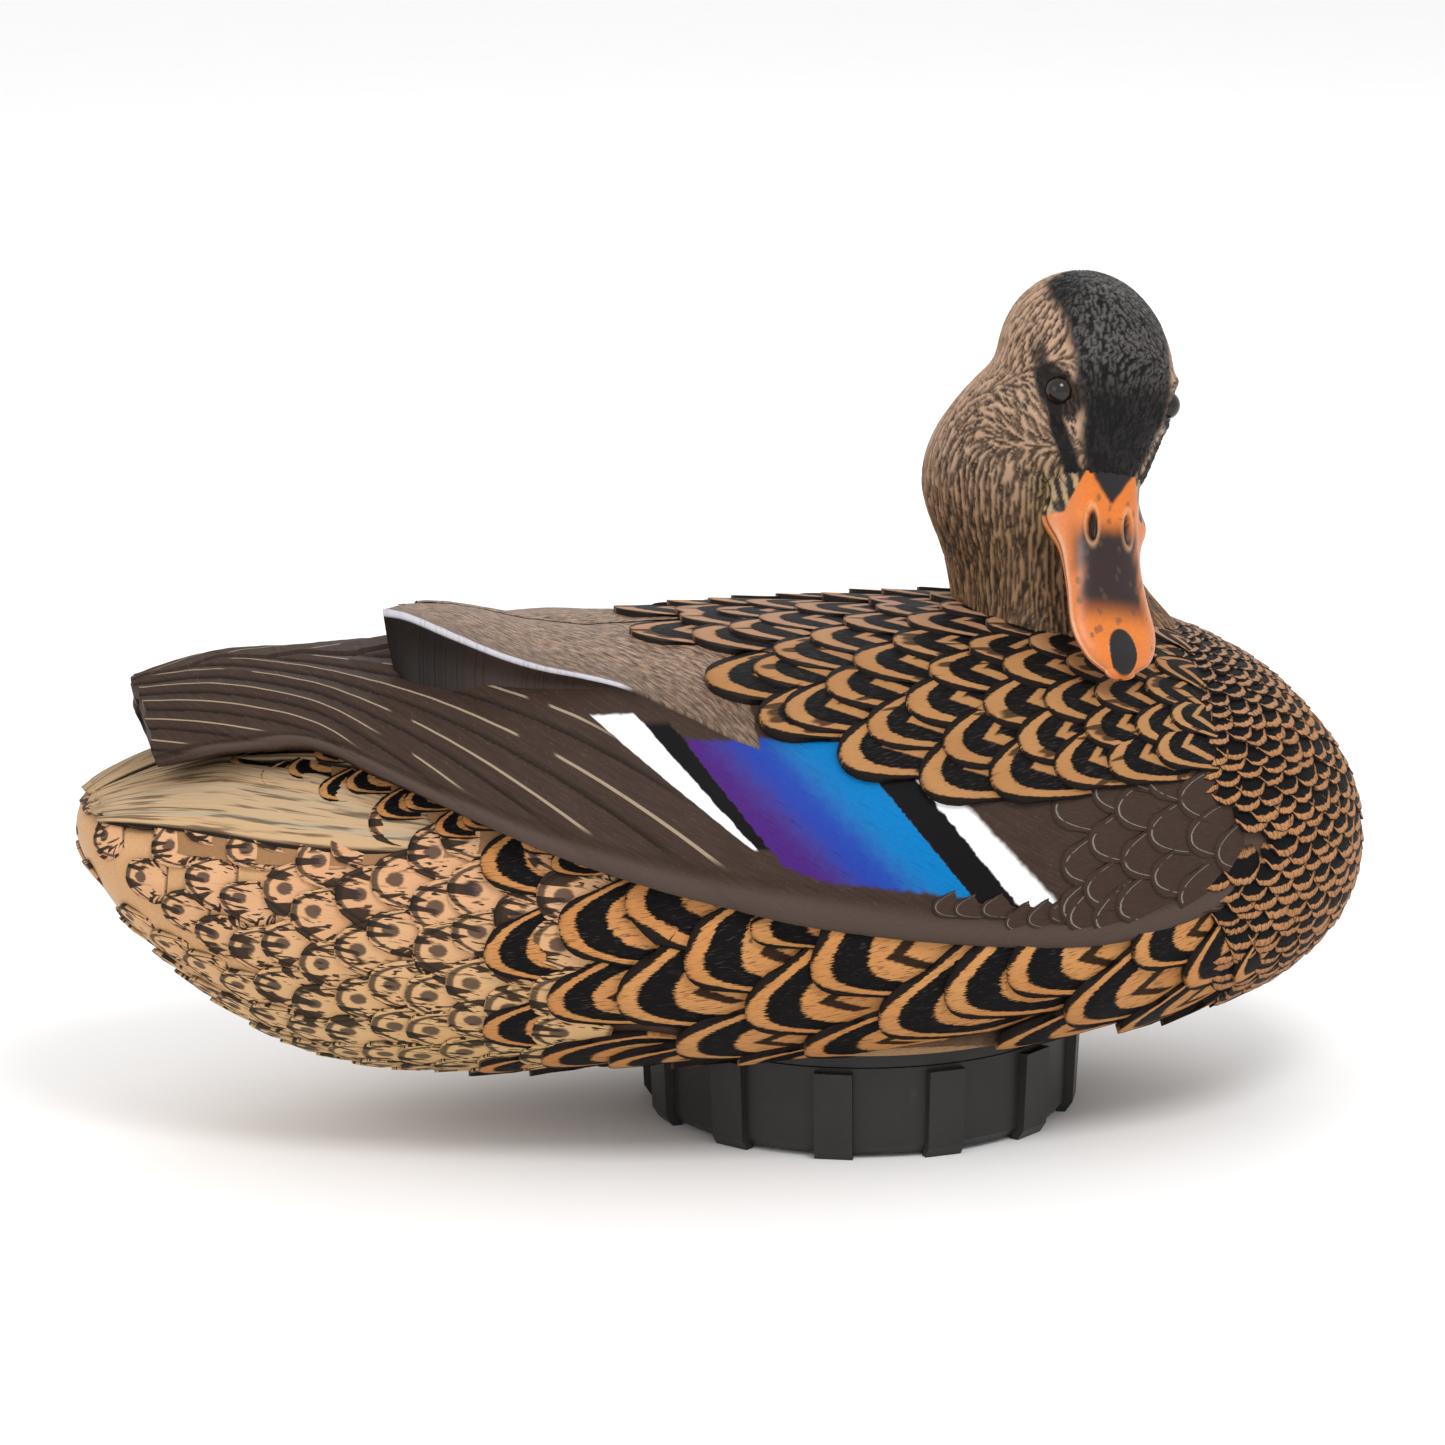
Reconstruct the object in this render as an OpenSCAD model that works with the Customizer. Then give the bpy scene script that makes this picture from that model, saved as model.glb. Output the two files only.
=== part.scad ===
// Floating duck decoy in a preening pose. The body is two hollow halves joined
// on the centre plane, with a separately moulded, turned-back head. A pod through
// the underside holds batteries and a ripple motor behind a ribbed lock ring.
// Origin: centre of the flat face that the decoy stands on. +X is towards the
// breast, +Z is up and the duck's right side is -Y.

/* [Body] */
// Wall thickness of the moulded body and head
wall = 3; // [2.5:0.5:3.5]
// Half of the body's width over the folded wings
half_w = 88; // [85:1:91]
// Thickness of the folded wing's free edge
wing_t = 5.5; // [5:0.5:6]
// Turn of the head about the vertical, from straight ahead
head_yaw = -87; // [-95:1:-80]
// Angle of the bill below the horizontal
head_pitch = 51; // [45:1:55]
// Roll of the head about the line of the bill
head_roll = -20; // [-25:1:-10]
// Radius of each eye
eye_r = 4.4; // [4:0.1:5]

/* [Pod] */
// Outer radius of the pod that passes through the underside
pod_r = 52; // [50:0.5:52.5]
// Wall thickness of the pod
pod_wall = 2; // [2:0.5:3]
// Outer radius of the neck that the lock ring runs on
neck_r = 57.8; // [57:0.1:58.5]
// Top of the pod above the standing face
pod_top = 124; // [122:1:128]

/* [Lock ring] */
// Outer radius of the lock ring's wall
ring_r = 64.5; // [64:0.1:65]
// Height of the lock ring's top edge
ring_top = 28.6; // [28:0.1:28.7]
// Number of grip ribs round the lock ring
rib_count = 12; // [8:1:14]
// Width of one grip rib
rib_w = 11.5; // [9:0.5:13]
// Outer radius over the grip ribs
rib_r = 67.2; // [66.5:0.1:67.5]

/* [Power] */
// Diameter of one battery cell
cell_d = 26.2; // [25:0.1:27]
// Length of one battery cell
cell_l = 50; // [48:0.5:51]
// Diameter of the motor
motor_d = 28; // [24:1:32]
// Length of the motor's body
motor_l = 30; // [26:1:31]
// Outer radius of the eccentric weight
weight_r = 30; // [24:1:34]
// Travel of the power button
button_travel = 1.5; // [1:0.1:1.8]

/* [Hidden] */
$fn = 64;
gap = 0.3;                       // clearance between parts that move past each other
run_gap = 0.06;                  // radial clearance of a running fit
eps = 0.01;                      // overlap that makes a union or a cut clean
black = [0.05, 0.05, 0.055];
steel = [0.62, 0.62, 0.65];

// Body sections from tail to breast: place, top, bottom, half width, height of the
// widest point, and how square the upper and the lower half are (2 is an ellipse)
body_sections = [
    [-239, 98, 94, 3, 96, 2.4, 2.0],
    [-236, 103, 86, 19, 95, 2.6, 2.0],
    [-226, 106, 70, 32, 92, 2.7, 2.0],
    [-208, 108, 51, 43, 88, 2.6, 2.0],
    [-184, 112, 33, 53, 83, 2.4, 2.1],
    [-156, 121, 23, 62, 80, 2.2, 2.2],
    [-122, 133, 21, 71, 79, 2.2, 2.4],
    [-82, 143, 25, 79, 79, 2.2, 2.9],
    [-36, 148, 27, 84, 81, 2.2, 3.4],
    [12, 149, 27, 85, 82, 2.2, 3.5],
    [56, 149, 28, 81, 82, 2.2, 3.3],
    [92, 146, 31, 70, 81, 2.2, 2.9],
    [120, 133, 37, 54, 80, 2.1, 2.5],
    [139, 114, 48, 35, 79, 2.0, 2.2],
    [149, 97, 62, 17, 78, 2.0, 2.0],
    [152, 80, 76, 3, 78, 2.0, 2.0]];

// Folded wing sections from the tips to the bend: place, top, half width, height of
// the widest point, and the height of the wing's lower edge
wing_sections = [
    [-221, 140.5, 31, 112, 122],
    [-196, 146, 43, 107, 128],
    [-172, 146.5, 55, 101, 130],
    [-150, 147, 65, 95, 121.5],
    [-106, 150.5, 80, 86, 102.5],
    [-60, 152, 87, 83, 87.5],
    [-16, 153, 88, 83, 76.5],
    [30, 153, 87, 83, 70],
    [62, 152, 82, 82, 68.5],
    [90, 147, 72, 82, 73],
    [108, 138, 60, 81, 80],
    [116, 128, 50, 81, 92]];
wing_square = 2.2;               // how square the wing's sections are
wing_steps = 17;                 // sections along the wing
wing_rows = 5;                   // rows round the wing

// The longest wing feathers' free ends: place along the body, then lift above the wing
tertial_sections = [[-52, 0], [-90, 1], [-120, 5], [-148, 10]];
tertial_low = 38;                // angles round the section between which they lie
tertial_high = 78;
tertial_t = 3.5;

// Neck sections from the back upwards: centre, then half width
neck_sections = [
    [57, 2, 138, 39], [56, 2, 148, 36.5], [52, 5, 164, 32], [50, 5, 184, 31],
    [52, 2, 202, 31], [57, -3, 216, 29], [61, -6, 227, 24]];
neck_floor = 157;                // height of the hollow neck's floor
bolt_at = [57, -12];             // bolt that holds the head, seen from above
bolt_low = 130.4;                // foot of its head
bolt_head_t = 4;
head_at = [66, -10, 222];        // centre of the skull

// Head sections along the bill's line: place, centre's height, half width, half height
skull_sections = [
    [-36, 0, 2, 2], [-34, 0, 11, 11], [-25, 0, 20.5, 21], [-10, 0.5, 26, 26.5],
    [4, 0, 26.5, 26], [16, -2, 23, 22], [26, -4.5, 18.5, 17], [33, -6, 15.5, 13]];
bill_sections = [
    [26, -5, 16, 15], [36, -6.5, 14.5, 10.5], [50, -8, 13.5, 7], [64, -8.5, 13.5, 5],
    [78, -8.5, 14.5, 3.8], [87, -8.5, 11, 3.4], [91, -9, 5, 2.6]];
eye_at = [10, 19, 12.2];       // along, across and above the skull's centre

// Levels of the pod, all above the standing face
ring_low = 1.5;
lid_low = 4.5;
lid_t = 4;
seal_t = 2;
neck_low = lid_low + lid_t + seal_t;
flange_low = ring_top + gap;
flange_t = 3.5;
flange_r = ring_r - 0.3;
gasket_t = 1.2;
belly = flange_low + flange_t + gasket_t;     // flat under the shell that the pod clamps to
belly_r = rib_r + 1.3;
opening_r = pod_r + 1;
backing_r = belly_r - 4;
backing_t = 3;
screw_at = 61.2;
screw_count = 6;
dish_r = neck_r - 10;            // raised middle of the lid
dish_low = 10;
dish_t = 3;
hub_r = 9;
tether_r = 2.5;
tether_at = 5;
button_at = 28;
button_r = 8;
stem_r = 3;
cell_at = 19.5;                  // offset of each cell's axis from the middle, in X and in Y
cell_low = 21;
tray_low = 15.5;
tray_t = 3;
cell_top = cell_low + cell_l;
board_low = cell_top + 4.5;
bracket_low = board_low + 5;
bracket_t = 2;
motor_low = bracket_low + bracket_t;
motor_top = motor_low + motor_l;
weight_low = motor_top + 2.5;
weight_t = 5.5;
shaft_r = 1.5;
pod_in = pod_r - pod_wall;

// Smooth curve through a list of points, at place u counted in points
function point(p, i) = p[max(0, min(len(p) - 1, i))];
function smooth(p, u) =
    let (i = floor(min(u, len(p) - 1 - 1e-6)), t = u - i,
         a = point(p, i - 1), b = point(p, i), c = point(p, i + 1), d = point(p, i + 2))
    b + 0.5 * t * ((c - a) + t * ((2 * a - 5 * b + 4 * c - d) + t * (3 * b - a - 3 * c + d)));

// Signed power, which rounds a section's corners
function bend(c, n) = sign(c) * pow(abs(c), 2 / n);

// Point of a body section at an angle: 0 is the left side and 90 the top
function section_point(q, angle, inset = 0) =
    let (c = cos(angle), s = sin(angle), n = s >= 0 ? q[5] : q[6],
         reach = s >= 0 ? q[1] - inset - q[4] : q[4] - q[2] - inset)
    [q[0], max(q[3] - inset, 0.5) * bend(c, n), q[4] + max(reach, 0.5) * bend(s, n)];

// Triangles between two rings of m points that start at a and b
function band(a, b, m) = [for (i = [0:m - 1]) let (j = (i + 1) % m)
    each [[a + i, b + j, a + j], [a + i, b + i, b + j]]];

// Closed solid through rings of points
module loft(rings) {
    m = len(rings[0]);
    n = len(rings);
    polyhedron(
        points = [for (r = rings) each r],
        faces = [[for (i = [0:m - 1]) i],
            for (k = [0:n - 2]) each band(k * m, (k + 1) * m, m),
            [for (i = [m - 1:-1:0]) (n - 1) * m + i]]);
}

// Closed slab between an outer and an inner sheet of points
module slab(outer, inner) {
    loft([for (k = [0:len(outer) - 1]) concat(inner[k],
        [for (i = [len(outer[k]) - 1:-1:0]) outer[k][i]])]);
}

// Sections along the body, trimmed at both ends by the inset
function body_rings(count, sides, inset = 0) = [for (k = [0:count])
    let (q = smooth(body_sections, (len(body_sections) - 1) * k / count),
         mid = (body_sections[0][0] + body_sections[len(body_sections) - 1][0]) / 2,
         squeeze = 1 - 2 * inset / (body_sections[len(body_sections) - 1][0] - body_sections[0][0]))
    [for (i = [0:sides - 1]) let (p = section_point(q, 360 * i / sides, inset))
        [mid + (p[0] - mid) * squeeze, p[1], p[2]]]];

// Point of the right wing at place u along it and an angle round it
function wing_point(u, angle, depth = 0, lift = 0) =
    let (q = smooth(wing_sections, u),
         y = (q[2] - depth) * bend(cos(angle), wing_square),
         z = q[3] + (q[1] - depth - q[3]) * bend(sin(angle), wing_square))
    [q[0], -y, z + lift];
function wing_low_angle(u) =
    let (q = smooth(wing_sections, u),
         s = (q[4] - q[3]) / (q[1] - q[3]))
    asin(sign(s) * pow(abs(s), wing_square / 2));

module body_form() {
    loft(body_rings(28, 28));
}

module right_wing() {
    last = len(wing_sections) - 1;
    function sheet(depth) = [for (k = [0:wing_steps])
        let (u = last * k / wing_steps, low = wing_low_angle(u))
        [for (i = [0:wing_rows]) wing_point(u, low + (84 - low) * i / wing_rows, depth)]];
    slab(sheet(0), sheet(wing_t));
}

// Place along the wing, counted in sections, of a distance along the body
function wing_place(x, i = 0) =
    let (a = wing_sections[i][0], b = wing_sections[i + 1][0])
    x < b || i == len(wing_sections) - 2 ? i + (x - a) / (b - a) : wing_place(x, i + 1);

module right_tertials() {
    steps = 5;
    rows = 3;
    last = len(tertial_sections) - 1;
    function sheet(depth) = [for (k = [steps:-1:0])
        let (q = smooth(tertial_sections, last * k / steps),
             narrow = 1 - 0.5 * pow(k / steps, 3),
             mid = (tertial_low + tertial_high) / 2 + 6 * k / steps,
             half = narrow * (tertial_high - tertial_low) / 2)
        [for (i = [0:rows]) wing_point(wing_place(q[0]), mid + half * (2 * i / rows - 1),
            depth, q[1] + 2)]];
    slab(sheet(0), sheet(tertial_t));
}

module both_sides() {
    children();
    mirror([0, 1, 0]) children();
}

// Outside of both halves; the resize makes one mesh of it at its full width
module outer_form() {
    resize([0, 2 * half_w, 0]) {
        body_form();
        both_sides() {
            right_wing();
            right_tertials();
        }
    }
}

// Hollow right half with its flat for the pod, the pod's opening and the bolt holes
module right_half() {
    resize([0, 0, 0]) intersection() {
        difference() {
            outer_form();
            difference() {
                loft(body_rings(20, 20, wall));
                cylinder(r = belly_r + wall, h = belly + wall);
            }
            translate([0, 0, -eps]) cylinder(r = belly_r, h = belly + eps);
            translate([0, 0, belly + wall]) cylinder(r = backing_r + 0.5, h = backing_t + 1);
            cylinder(r = opening_r, h = belly + 2 * wall);
            for (i = [0:screw_count - 1]) rotate(30 + i * 360 / screw_count)
                translate([screw_at, 0, 0]) cylinder(r = 1.9, h = belly + 2 * wall, $fn = 16);
            translate([bolt_at[0], bolt_at[1], bolt_low - 10]) cylinder(r = 4.4, h = 60, $fn = 16);
        }
        translate([-300, -200, 0]) cube([600, 200, 300]);
    }
}

module shell_right() {
    color([0.55, 0.36, 0.2]) right_half();
}

module shell_left() {
    color([0.5, 0.33, 0.19]) mirror([0, 1, 0]) right_half();
}

// The skull's own directions: along the bill, to the duck's right, and up
bill_dir = [cos(head_yaw) * cos(head_pitch), sin(head_yaw) * cos(head_pitch), -sin(head_pitch)];
level_up = [cos(head_yaw) * sin(head_pitch), sin(head_yaw) * sin(head_pitch), cos(head_pitch)];
level_right = cross(bill_dir, level_up);
crown_dir = level_up * cos(head_roll) + level_right * sin(head_roll);
right_dir = cross(bill_dir, crown_dir);

function head_point(along, across, above) =
    head_at + along * bill_dir + across * right_dir + above * crown_dir;

function head_rings(sections, count, sides, inset = 0) = [for (k = [0:count])
    let (q = smooth(sections, (len(sections) - 1) * k / count))
    [for (i = [0:sides - 1]) let (a = 360 * i / sides)
        head_point(q[0], max(q[2] - inset, 0.5) * cos(a), q[1] - max(q[3] - inset, 0.5) * sin(a))]];

function neck_rings(sides, inset = 0) = [for (k = [0:2 * (len(neck_sections) - 1)])
    let (q = smooth(neck_sections, k / 2))
    [for (i = [0:sides - 1]) [q[0] + (q[3] - inset) * cos(360 * i / sides),
        q[1] + (q[3] - inset) * sin(360 * i / sides), q[2]]]];

module head() {
    color([0.6, 0.47, 0.33]) resize([0, 0, 0]) difference() {
        union() {
            loft(neck_rings(22));
            loft(head_rings(skull_sections, 13, 22));
            loft(head_rings(bill_sections, 10, 16));
        }
        difference() {
            union() {
                loft(neck_rings(14, wall));
                loft(head_rings(skull_sections, 7, 14, wall));
            }
            translate([bolt_at[0], bolt_at[1], bolt_low]) cylinder(r = 9, h = 50, $fn = 16);
            translate([0, -100, 0]) cube([200, 200, neck_floor]);
        }
        outer_form();
        translate([bolt_at[0], bolt_at[1], bolt_low]) cylinder(r = 5.6, h = 44, $fn = 16);
        for (side = [-1, 1]) translate(head_point(eye_at[0], side * eye_at[1], eye_at[2]))
            sphere(r = eye_r + 0.25, $fn = 16);
    }
}

module eyes() {
    color([0.12, 0.07, 0.04]) for (side = [-1, 1])
        translate(head_point(eye_at[0], side * eye_at[1], eye_at[2])) sphere(r = eye_r);
}

// Brass insert in the neck that the head's bolt screws into
module neck_insert() {
    color([0.75, 0.6, 0.25]) translate([bolt_at[0], bolt_at[1], neck_floor + 1]) difference() {
        cylinder(r = 5.4, h = 15);
        translate([0, 0, -eps]) cylinder(r = 3, h = 15 + 2 * eps);
    }
}

module head_washer() {
    color(steel) translate([bolt_at[0], bolt_at[1], bolt_low + bolt_head_t]) difference() {
        cylinder(r = 9, h = 1.6);
        translate([0, 0, -eps]) cylinder(r = 3.2, h = 2);
    }
}

module head_bolt() {
    color(steel) translate([bolt_at[0], bolt_at[1], bolt_low]) {
        cylinder(r = 5.8, h = bolt_head_t, $fn = 6);
        cylinder(r = 2.95, h = 42);
    }
}

// Pod that hangs through the underside: bucket, flange and the neck for the lock ring
module pod_housing() {
    color(black) difference() {
        rotate_extrude() polygon([
            [neck_r - 6, neck_low], [neck_r, neck_low], [neck_r, flange_low], [flange_r, flange_low],
            [flange_r, flange_low + flange_t], [pod_r, flange_low + flange_t], [pod_r, pod_top - 4],
            [pod_r - 4, pod_top], [0, pod_top], [0, pod_top - pod_wall], [pod_in - 4, pod_top - pod_wall],
            [pod_in, pod_top - pod_wall - 4], [pod_in, neck_low + 4], [neck_r - 6, neck_low + 4]]);
        for (i = [0:screw_count - 1]) rotate(30 + i * 360 / screw_count) translate([screw_at, 0, 0]) {
            translate([0, 0, flange_low - 1]) cylinder(r = 1.7, h = flange_t + 2);
            translate([0, 0, flange_low - 1]) cylinder(r = 2.8, h = 3);
        }
    }
}

module washer_ring(inner, outer, low, thick, hole) {
    difference() {
        translate([0, 0, low]) cylinder(r = outer, h = thick);
        translate([0, 0, low - 1]) cylinder(r = inner, h = thick + 2);
        for (i = [0:screw_count - 1]) rotate(30 + i * 360 / screw_count)
            translate([screw_at, 0, low - 1]) cylinder(r = hole, h = thick + 2);
    }
}

module pod_gasket() {
    color([0.1, 0.1, 0.1]) washer_ring(opening_r + 1, flange_r - 0.4, flange_low + flange_t, gasket_t, 1.8);
}

module backing_ring() {
    color(steel) washer_ring(opening_r + 0.5, backing_r, belly + wall, backing_t, 1.55);
}

module pod_screws() {
    color(steel) for (i = [0:screw_count - 1]) rotate(30 + i * 360 / screw_count)
        translate([screw_at, 0, flange_low + 0.1]) {
            cylinder(r = 2.6, h = 1.9);
            cylinder(r = 1.5, h = belly + wall + backing_t + 2 - flange_low);
        }
}

// Tray that carries the cells, with a boss for the switch under it
module battery_tray() {
    color([0.15, 0.15, 0.16]) difference() {
        union() {
            translate([0, 0, tray_low]) cylinder(r = pod_in - gap, h = tray_t);
            for (sx = [-1, 1], sy = [-1, 1]) translate([sx * cell_at, sy * cell_at, tray_low + tray_t])
                cylinder(r = cell_d / 2 + 1.8, h = 8);
        }
        for (sx = [-1, 1], sy = [-1, 1]) translate([sx * cell_at, sy * cell_at, tray_low + tray_t])
            cylinder(r = cell_d / 2 + gap, h = 9);
    }
}

module battery(sx, sy) {
    color([0.75, 0.55, 0.2]) translate([sx * cell_at, sy * cell_at, cell_low]) {
        cylinder(r = cell_d / 2, h = cell_l - 2);
        cylinder(r = 3.4, h = cell_l);
    }
}

module battery_1() { battery(1, 1); }
module battery_2() { battery(-1, 1); }
module battery_3() { battery(-1, -1); }
module battery_4() { battery(1, -1); }

// Contact springs under the cells, drawn as hollow cones at their compressed length
module contact_springs() {
    color(steel) for (sx = [-1, 1], sy = [-1, 1])
        translate([sx * cell_at, sy * cell_at, tray_low + tray_t]) difference() {
            cylinder(r1 = 7, r2 = 5, h = cell_low - tray_low - tray_t);
            translate([0, 0, -eps]) cylinder(r = 3.6, h = 5);
        }
}

module contact_plates() {
    color(steel) for (sx = [-1, 1])
        translate([sx * cell_at - 5, -cell_at - 6, cell_top]) cube([10, 2 * cell_at + 12, 0.6]);
}

module power_switch() {
    color([0.1, 0.1, 0.12]) translate([button_at, 0, tray_low]) {
        translate([-3.5, -3.5, -2]) cube([7, 7, 2]);
        translate([0, 0, -2.6]) cylinder(r = 1.6, h = 0.8);
    }
}

module control_board() {
    color([0.1, 0.35, 0.15]) {
        translate([0, 0, board_low]) cylinder(r = 38, h = 1.6);
        translate([-28, -6, board_low + 1.6]) cube([9, 12, 2]);
        translate([16, 8, board_low + 1.6]) cube([6, 6, 2.4]);
    }
}

module motor_bracket() {
    color([0.2, 0.2, 0.22]) difference() {
        union() {
            translate([0, 0, bracket_low]) cylinder(r = pod_in - gap, h = bracket_t);
            translate([0, 0, motor_low]) cylinder(r = motor_d / 2 + 2.2, h = motor_l - 4);
            for (a = [0, 180]) rotate(a) translate([motor_d / 2 + 6, 0, motor_low]) cylinder(r = 4.4, h = 8);
        }
        translate([0, 0, motor_low]) cylinder(r = motor_d / 2, h = motor_l);
        for (a = [0, 180]) rotate(a) translate([motor_d / 2 + 6, 0, bracket_low - 1])
            cylinder(r = 1.55, h = 12);
        for (a = [45:90:315]) rotate(a) translate([38, 0, bracket_low - 1]) cylinder(r = 6, h = bracket_t + 2);
    }
}

module motor_screws() {
    color(steel) for (a = [0, 180]) rotate(a) translate([motor_d / 2 + 6, 0, bracket_low]) {
        cylinder(r = 1.5, h = 12);
        translate([0, 0, 10]) cylinder(r = 3, h = 2);
    }
}

module motor() {
    color(steel) difference() {
        union() {
            translate([0, 0, motor_low]) cylinder(r = motor_d / 2, h = motor_l);
            translate([0, 0, motor_top]) cylinder(r = 4, h = 1.5);
        }
        translate([0, 0, motor_low + 4]) cylinder(r = shaft_r + run_gap, h = motor_l);
    }
}

module motor_shaft() {
    color([0.75, 0.75, 0.78]) translate([0, 0, motor_low + 5]) cylinder(r = shaft_r, h = motor_l + 3.5);
}

module eccentric_weight() {
    color([0.5, 0.45, 0.35]) translate([0, 0, weight_low]) difference() {
        union() {
            intersection() {
                cylinder(r = weight_r, h = weight_t);
                translate([0, -weight_r, 0]) cube([weight_r, 2 * weight_r, weight_t]);
            }
            cylinder(r = 5, h = weight_t);
        }
        translate([0, 0, -eps]) cylinder(r = shaft_r, h = weight_t + 2 * eps);
    }
}

// Lid: a flat rim under the neck, a raised dish, and a hub with the tether hole
module lid() {
    color(black) difference() {
        union() {
            rotate_extrude() polygon([
                [0, dish_low], [dish_r - 2.5, dish_low], [dish_r - 2.5, lid_low], [neck_r - 0.6, lid_low],
                [neck_r - 0.6, lid_low + lid_t], [dish_r + 0.5, lid_low + lid_t],
                [dish_r + 0.5, dish_low + dish_t], [0, dish_low + dish_t]]);
            cylinder(r = hub_r, h = dish_low + 1);
            translate([button_at, 0, 6]) cylinder(r = button_r + 2.5, h = dish_low - 5);
        }
        translate([0, 30, tether_at]) rotate([90, 0, 0]) cylinder(r = tether_r, h = 60);
        translate([button_at, 0, 5]) cylinder(r = button_r + gap, h = dish_low - 4);
        translate([button_at, 0, 5]) cylinder(r = stem_r + run_gap, h = 12);
    }
}

module lid_seal() {
    color([0.55, 0.12, 0.1]) translate([0, 0, lid_low + lid_t]) difference() {
        cylinder(r = neck_r - 0.8, h = seal_t);
        translate([0, 0, -1]) cylinder(r = neck_r - 5.6, h = seal_t + 2);
    }
}

// One grip rib: a hollow block that is open at the top and chamfered at the foot
module grip_rib() {
    top = ring_top - 1.2;
    foot = ring_r - 3.5;
    difference() {
        rotate([90, 0, 0]) translate([0, 0, -rib_w / 2]) linear_extrude(rib_w) polygon([
            [foot, 0], [rib_r - 3.4, 0], [rib_r - 1.2, 3.2], [rib_r, top], [foot, top]]);
        translate([ring_r + 0.3, -rib_w / 2 + 1.4, 9]) cube([rib_r - ring_r - 1.5, rib_w - 2.8, 30]);
    }
}

module lock_ring() {
    shelf_r = dish_r - 0.5;
    bore_r = neck_r + run_gap;
    color(black) difference() {
        union() {
            rotate_extrude() polygon([
                [shelf_r, ring_low], [ring_r - 2.8, ring_low], [ring_r - 0.8, ring_low + 2.4],
                [ring_r, ring_top], [neck_r - 0.5, ring_top], [neck_r - 0.5, lid_low], [shelf_r, lid_low]]);
            for (i = [0:rib_count - 1]) rotate((i + 0.4) * 360 / rib_count) grip_rib();
        }
        translate([0, 0, lid_low]) cylinder(r = bore_r, h = ring_top);
    }
}

// Power button: a soft cap in the lid with a stem that reaches the switch
module button() {
    color([0.35, 0.35, 0.37]) translate([button_at, 0, 0]) {
        translate([0, 0, 5.6 - button_travel]) cylinder(r = button_r, h = 3.2);
        translate([0, 0, 5.6]) cylinder(r = stem_r, h = tray_low - 2.6 - 5.6 - button_travel);
    }
}

shell_right();
shell_left();
head();
eyes();
neck_insert();
head_bolt();
head_washer();
pod_housing();
pod_gasket();
backing_ring();
pod_screws();
battery_tray();
battery_1();
battery_2();
battery_3();
battery_4();
contact_springs();
contact_plates();
power_switch();
control_board();
motor_bracket();
motor();
motor_screws();
motor_shaft();
eccentric_weight();
lid();
lid_seal();
lock_ring();
button();
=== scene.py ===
"""Looks of a floating duck decoy in a preening pose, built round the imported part.
Lengths are in millimetres until a mesh is made. The duck's right side is -Y."""

import math

import bpy
import numpy as np
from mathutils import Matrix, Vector
from mathutils.kdtree import KDTree


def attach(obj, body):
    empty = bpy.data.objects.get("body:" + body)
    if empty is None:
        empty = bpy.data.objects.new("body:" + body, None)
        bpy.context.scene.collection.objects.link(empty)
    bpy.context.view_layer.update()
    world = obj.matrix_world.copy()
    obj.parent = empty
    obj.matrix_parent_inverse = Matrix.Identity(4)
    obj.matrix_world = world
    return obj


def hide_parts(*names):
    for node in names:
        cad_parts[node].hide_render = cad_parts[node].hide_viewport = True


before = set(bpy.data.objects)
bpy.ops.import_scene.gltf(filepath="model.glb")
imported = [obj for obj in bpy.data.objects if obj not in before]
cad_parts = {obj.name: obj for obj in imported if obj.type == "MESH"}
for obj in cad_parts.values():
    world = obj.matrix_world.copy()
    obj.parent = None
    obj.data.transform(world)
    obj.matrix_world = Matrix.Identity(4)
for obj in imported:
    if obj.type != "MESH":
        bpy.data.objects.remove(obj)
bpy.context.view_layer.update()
SEED = 11
rng = np.random.default_rng(SEED)

# ---------------------------------------------------------------- forms

# place, top, bottom, half width, widest height, squareness above and below
BODY = np.array([
    [-239, 98, 94, 3, 96, 2.4, 2.0], [-236, 103, 86, 19, 95, 2.6, 2.0],
    [-226, 106, 70, 32, 92, 2.7, 2.0], [-208, 108, 51, 43, 88, 2.6, 2.0],
    [-184, 112, 33, 53, 83, 2.4, 2.1], [-156, 121, 23, 62, 80, 2.2, 2.2],
    [-122, 133, 21, 71, 79, 2.2, 2.4], [-82, 143, 25, 79, 79, 2.2, 2.9],
    [-36, 148, 27, 84, 81, 2.2, 3.4], [12, 149, 27, 85, 82, 2.2, 3.5],
    [56, 149, 28, 81, 82, 2.2, 3.3], [92, 146, 31, 70, 81, 2.2, 2.9],
    [121, 133, 37, 54, 80, 2.1, 2.5], [141, 114, 48, 35, 79, 2.0, 2.2],
    [151.5, 97, 62, 17, 78, 2.0, 2.0], [154.5, 80, 76, 3, 78, 2.0, 2.0]])
# place, top, half width, widest height, height of the lower edge
WING = np.array([
    [-221, 140.5, 31, 112, 122], [-196, 146, 43, 107, 128], [-172, 146.5, 55, 101, 130],
    [-150, 147, 65, 95, 121.5], [-106, 150.5, 80, 86, 102.5], [-60, 152, 87, 83, 87.5],
    [-16, 153, 88, 83, 76.5], [30, 153, 87, 83, 70], [62, 152, 82, 82, 68.5],
    [90, 147, 72, 82, 73], [108, 138, 60, 81, 80], [116, 128, 50, 81, 92]])
# centre, then half width
NECK = np.array([
    [60, 2, 138, 36.5], [59, 2, 148, 34], [54, 4.5, 164, 30.5], [50, 5, 184, 31],
    [52, 2, 202, 31], [57, -3, 216, 29], [61, -6, 227, 24]])
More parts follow.
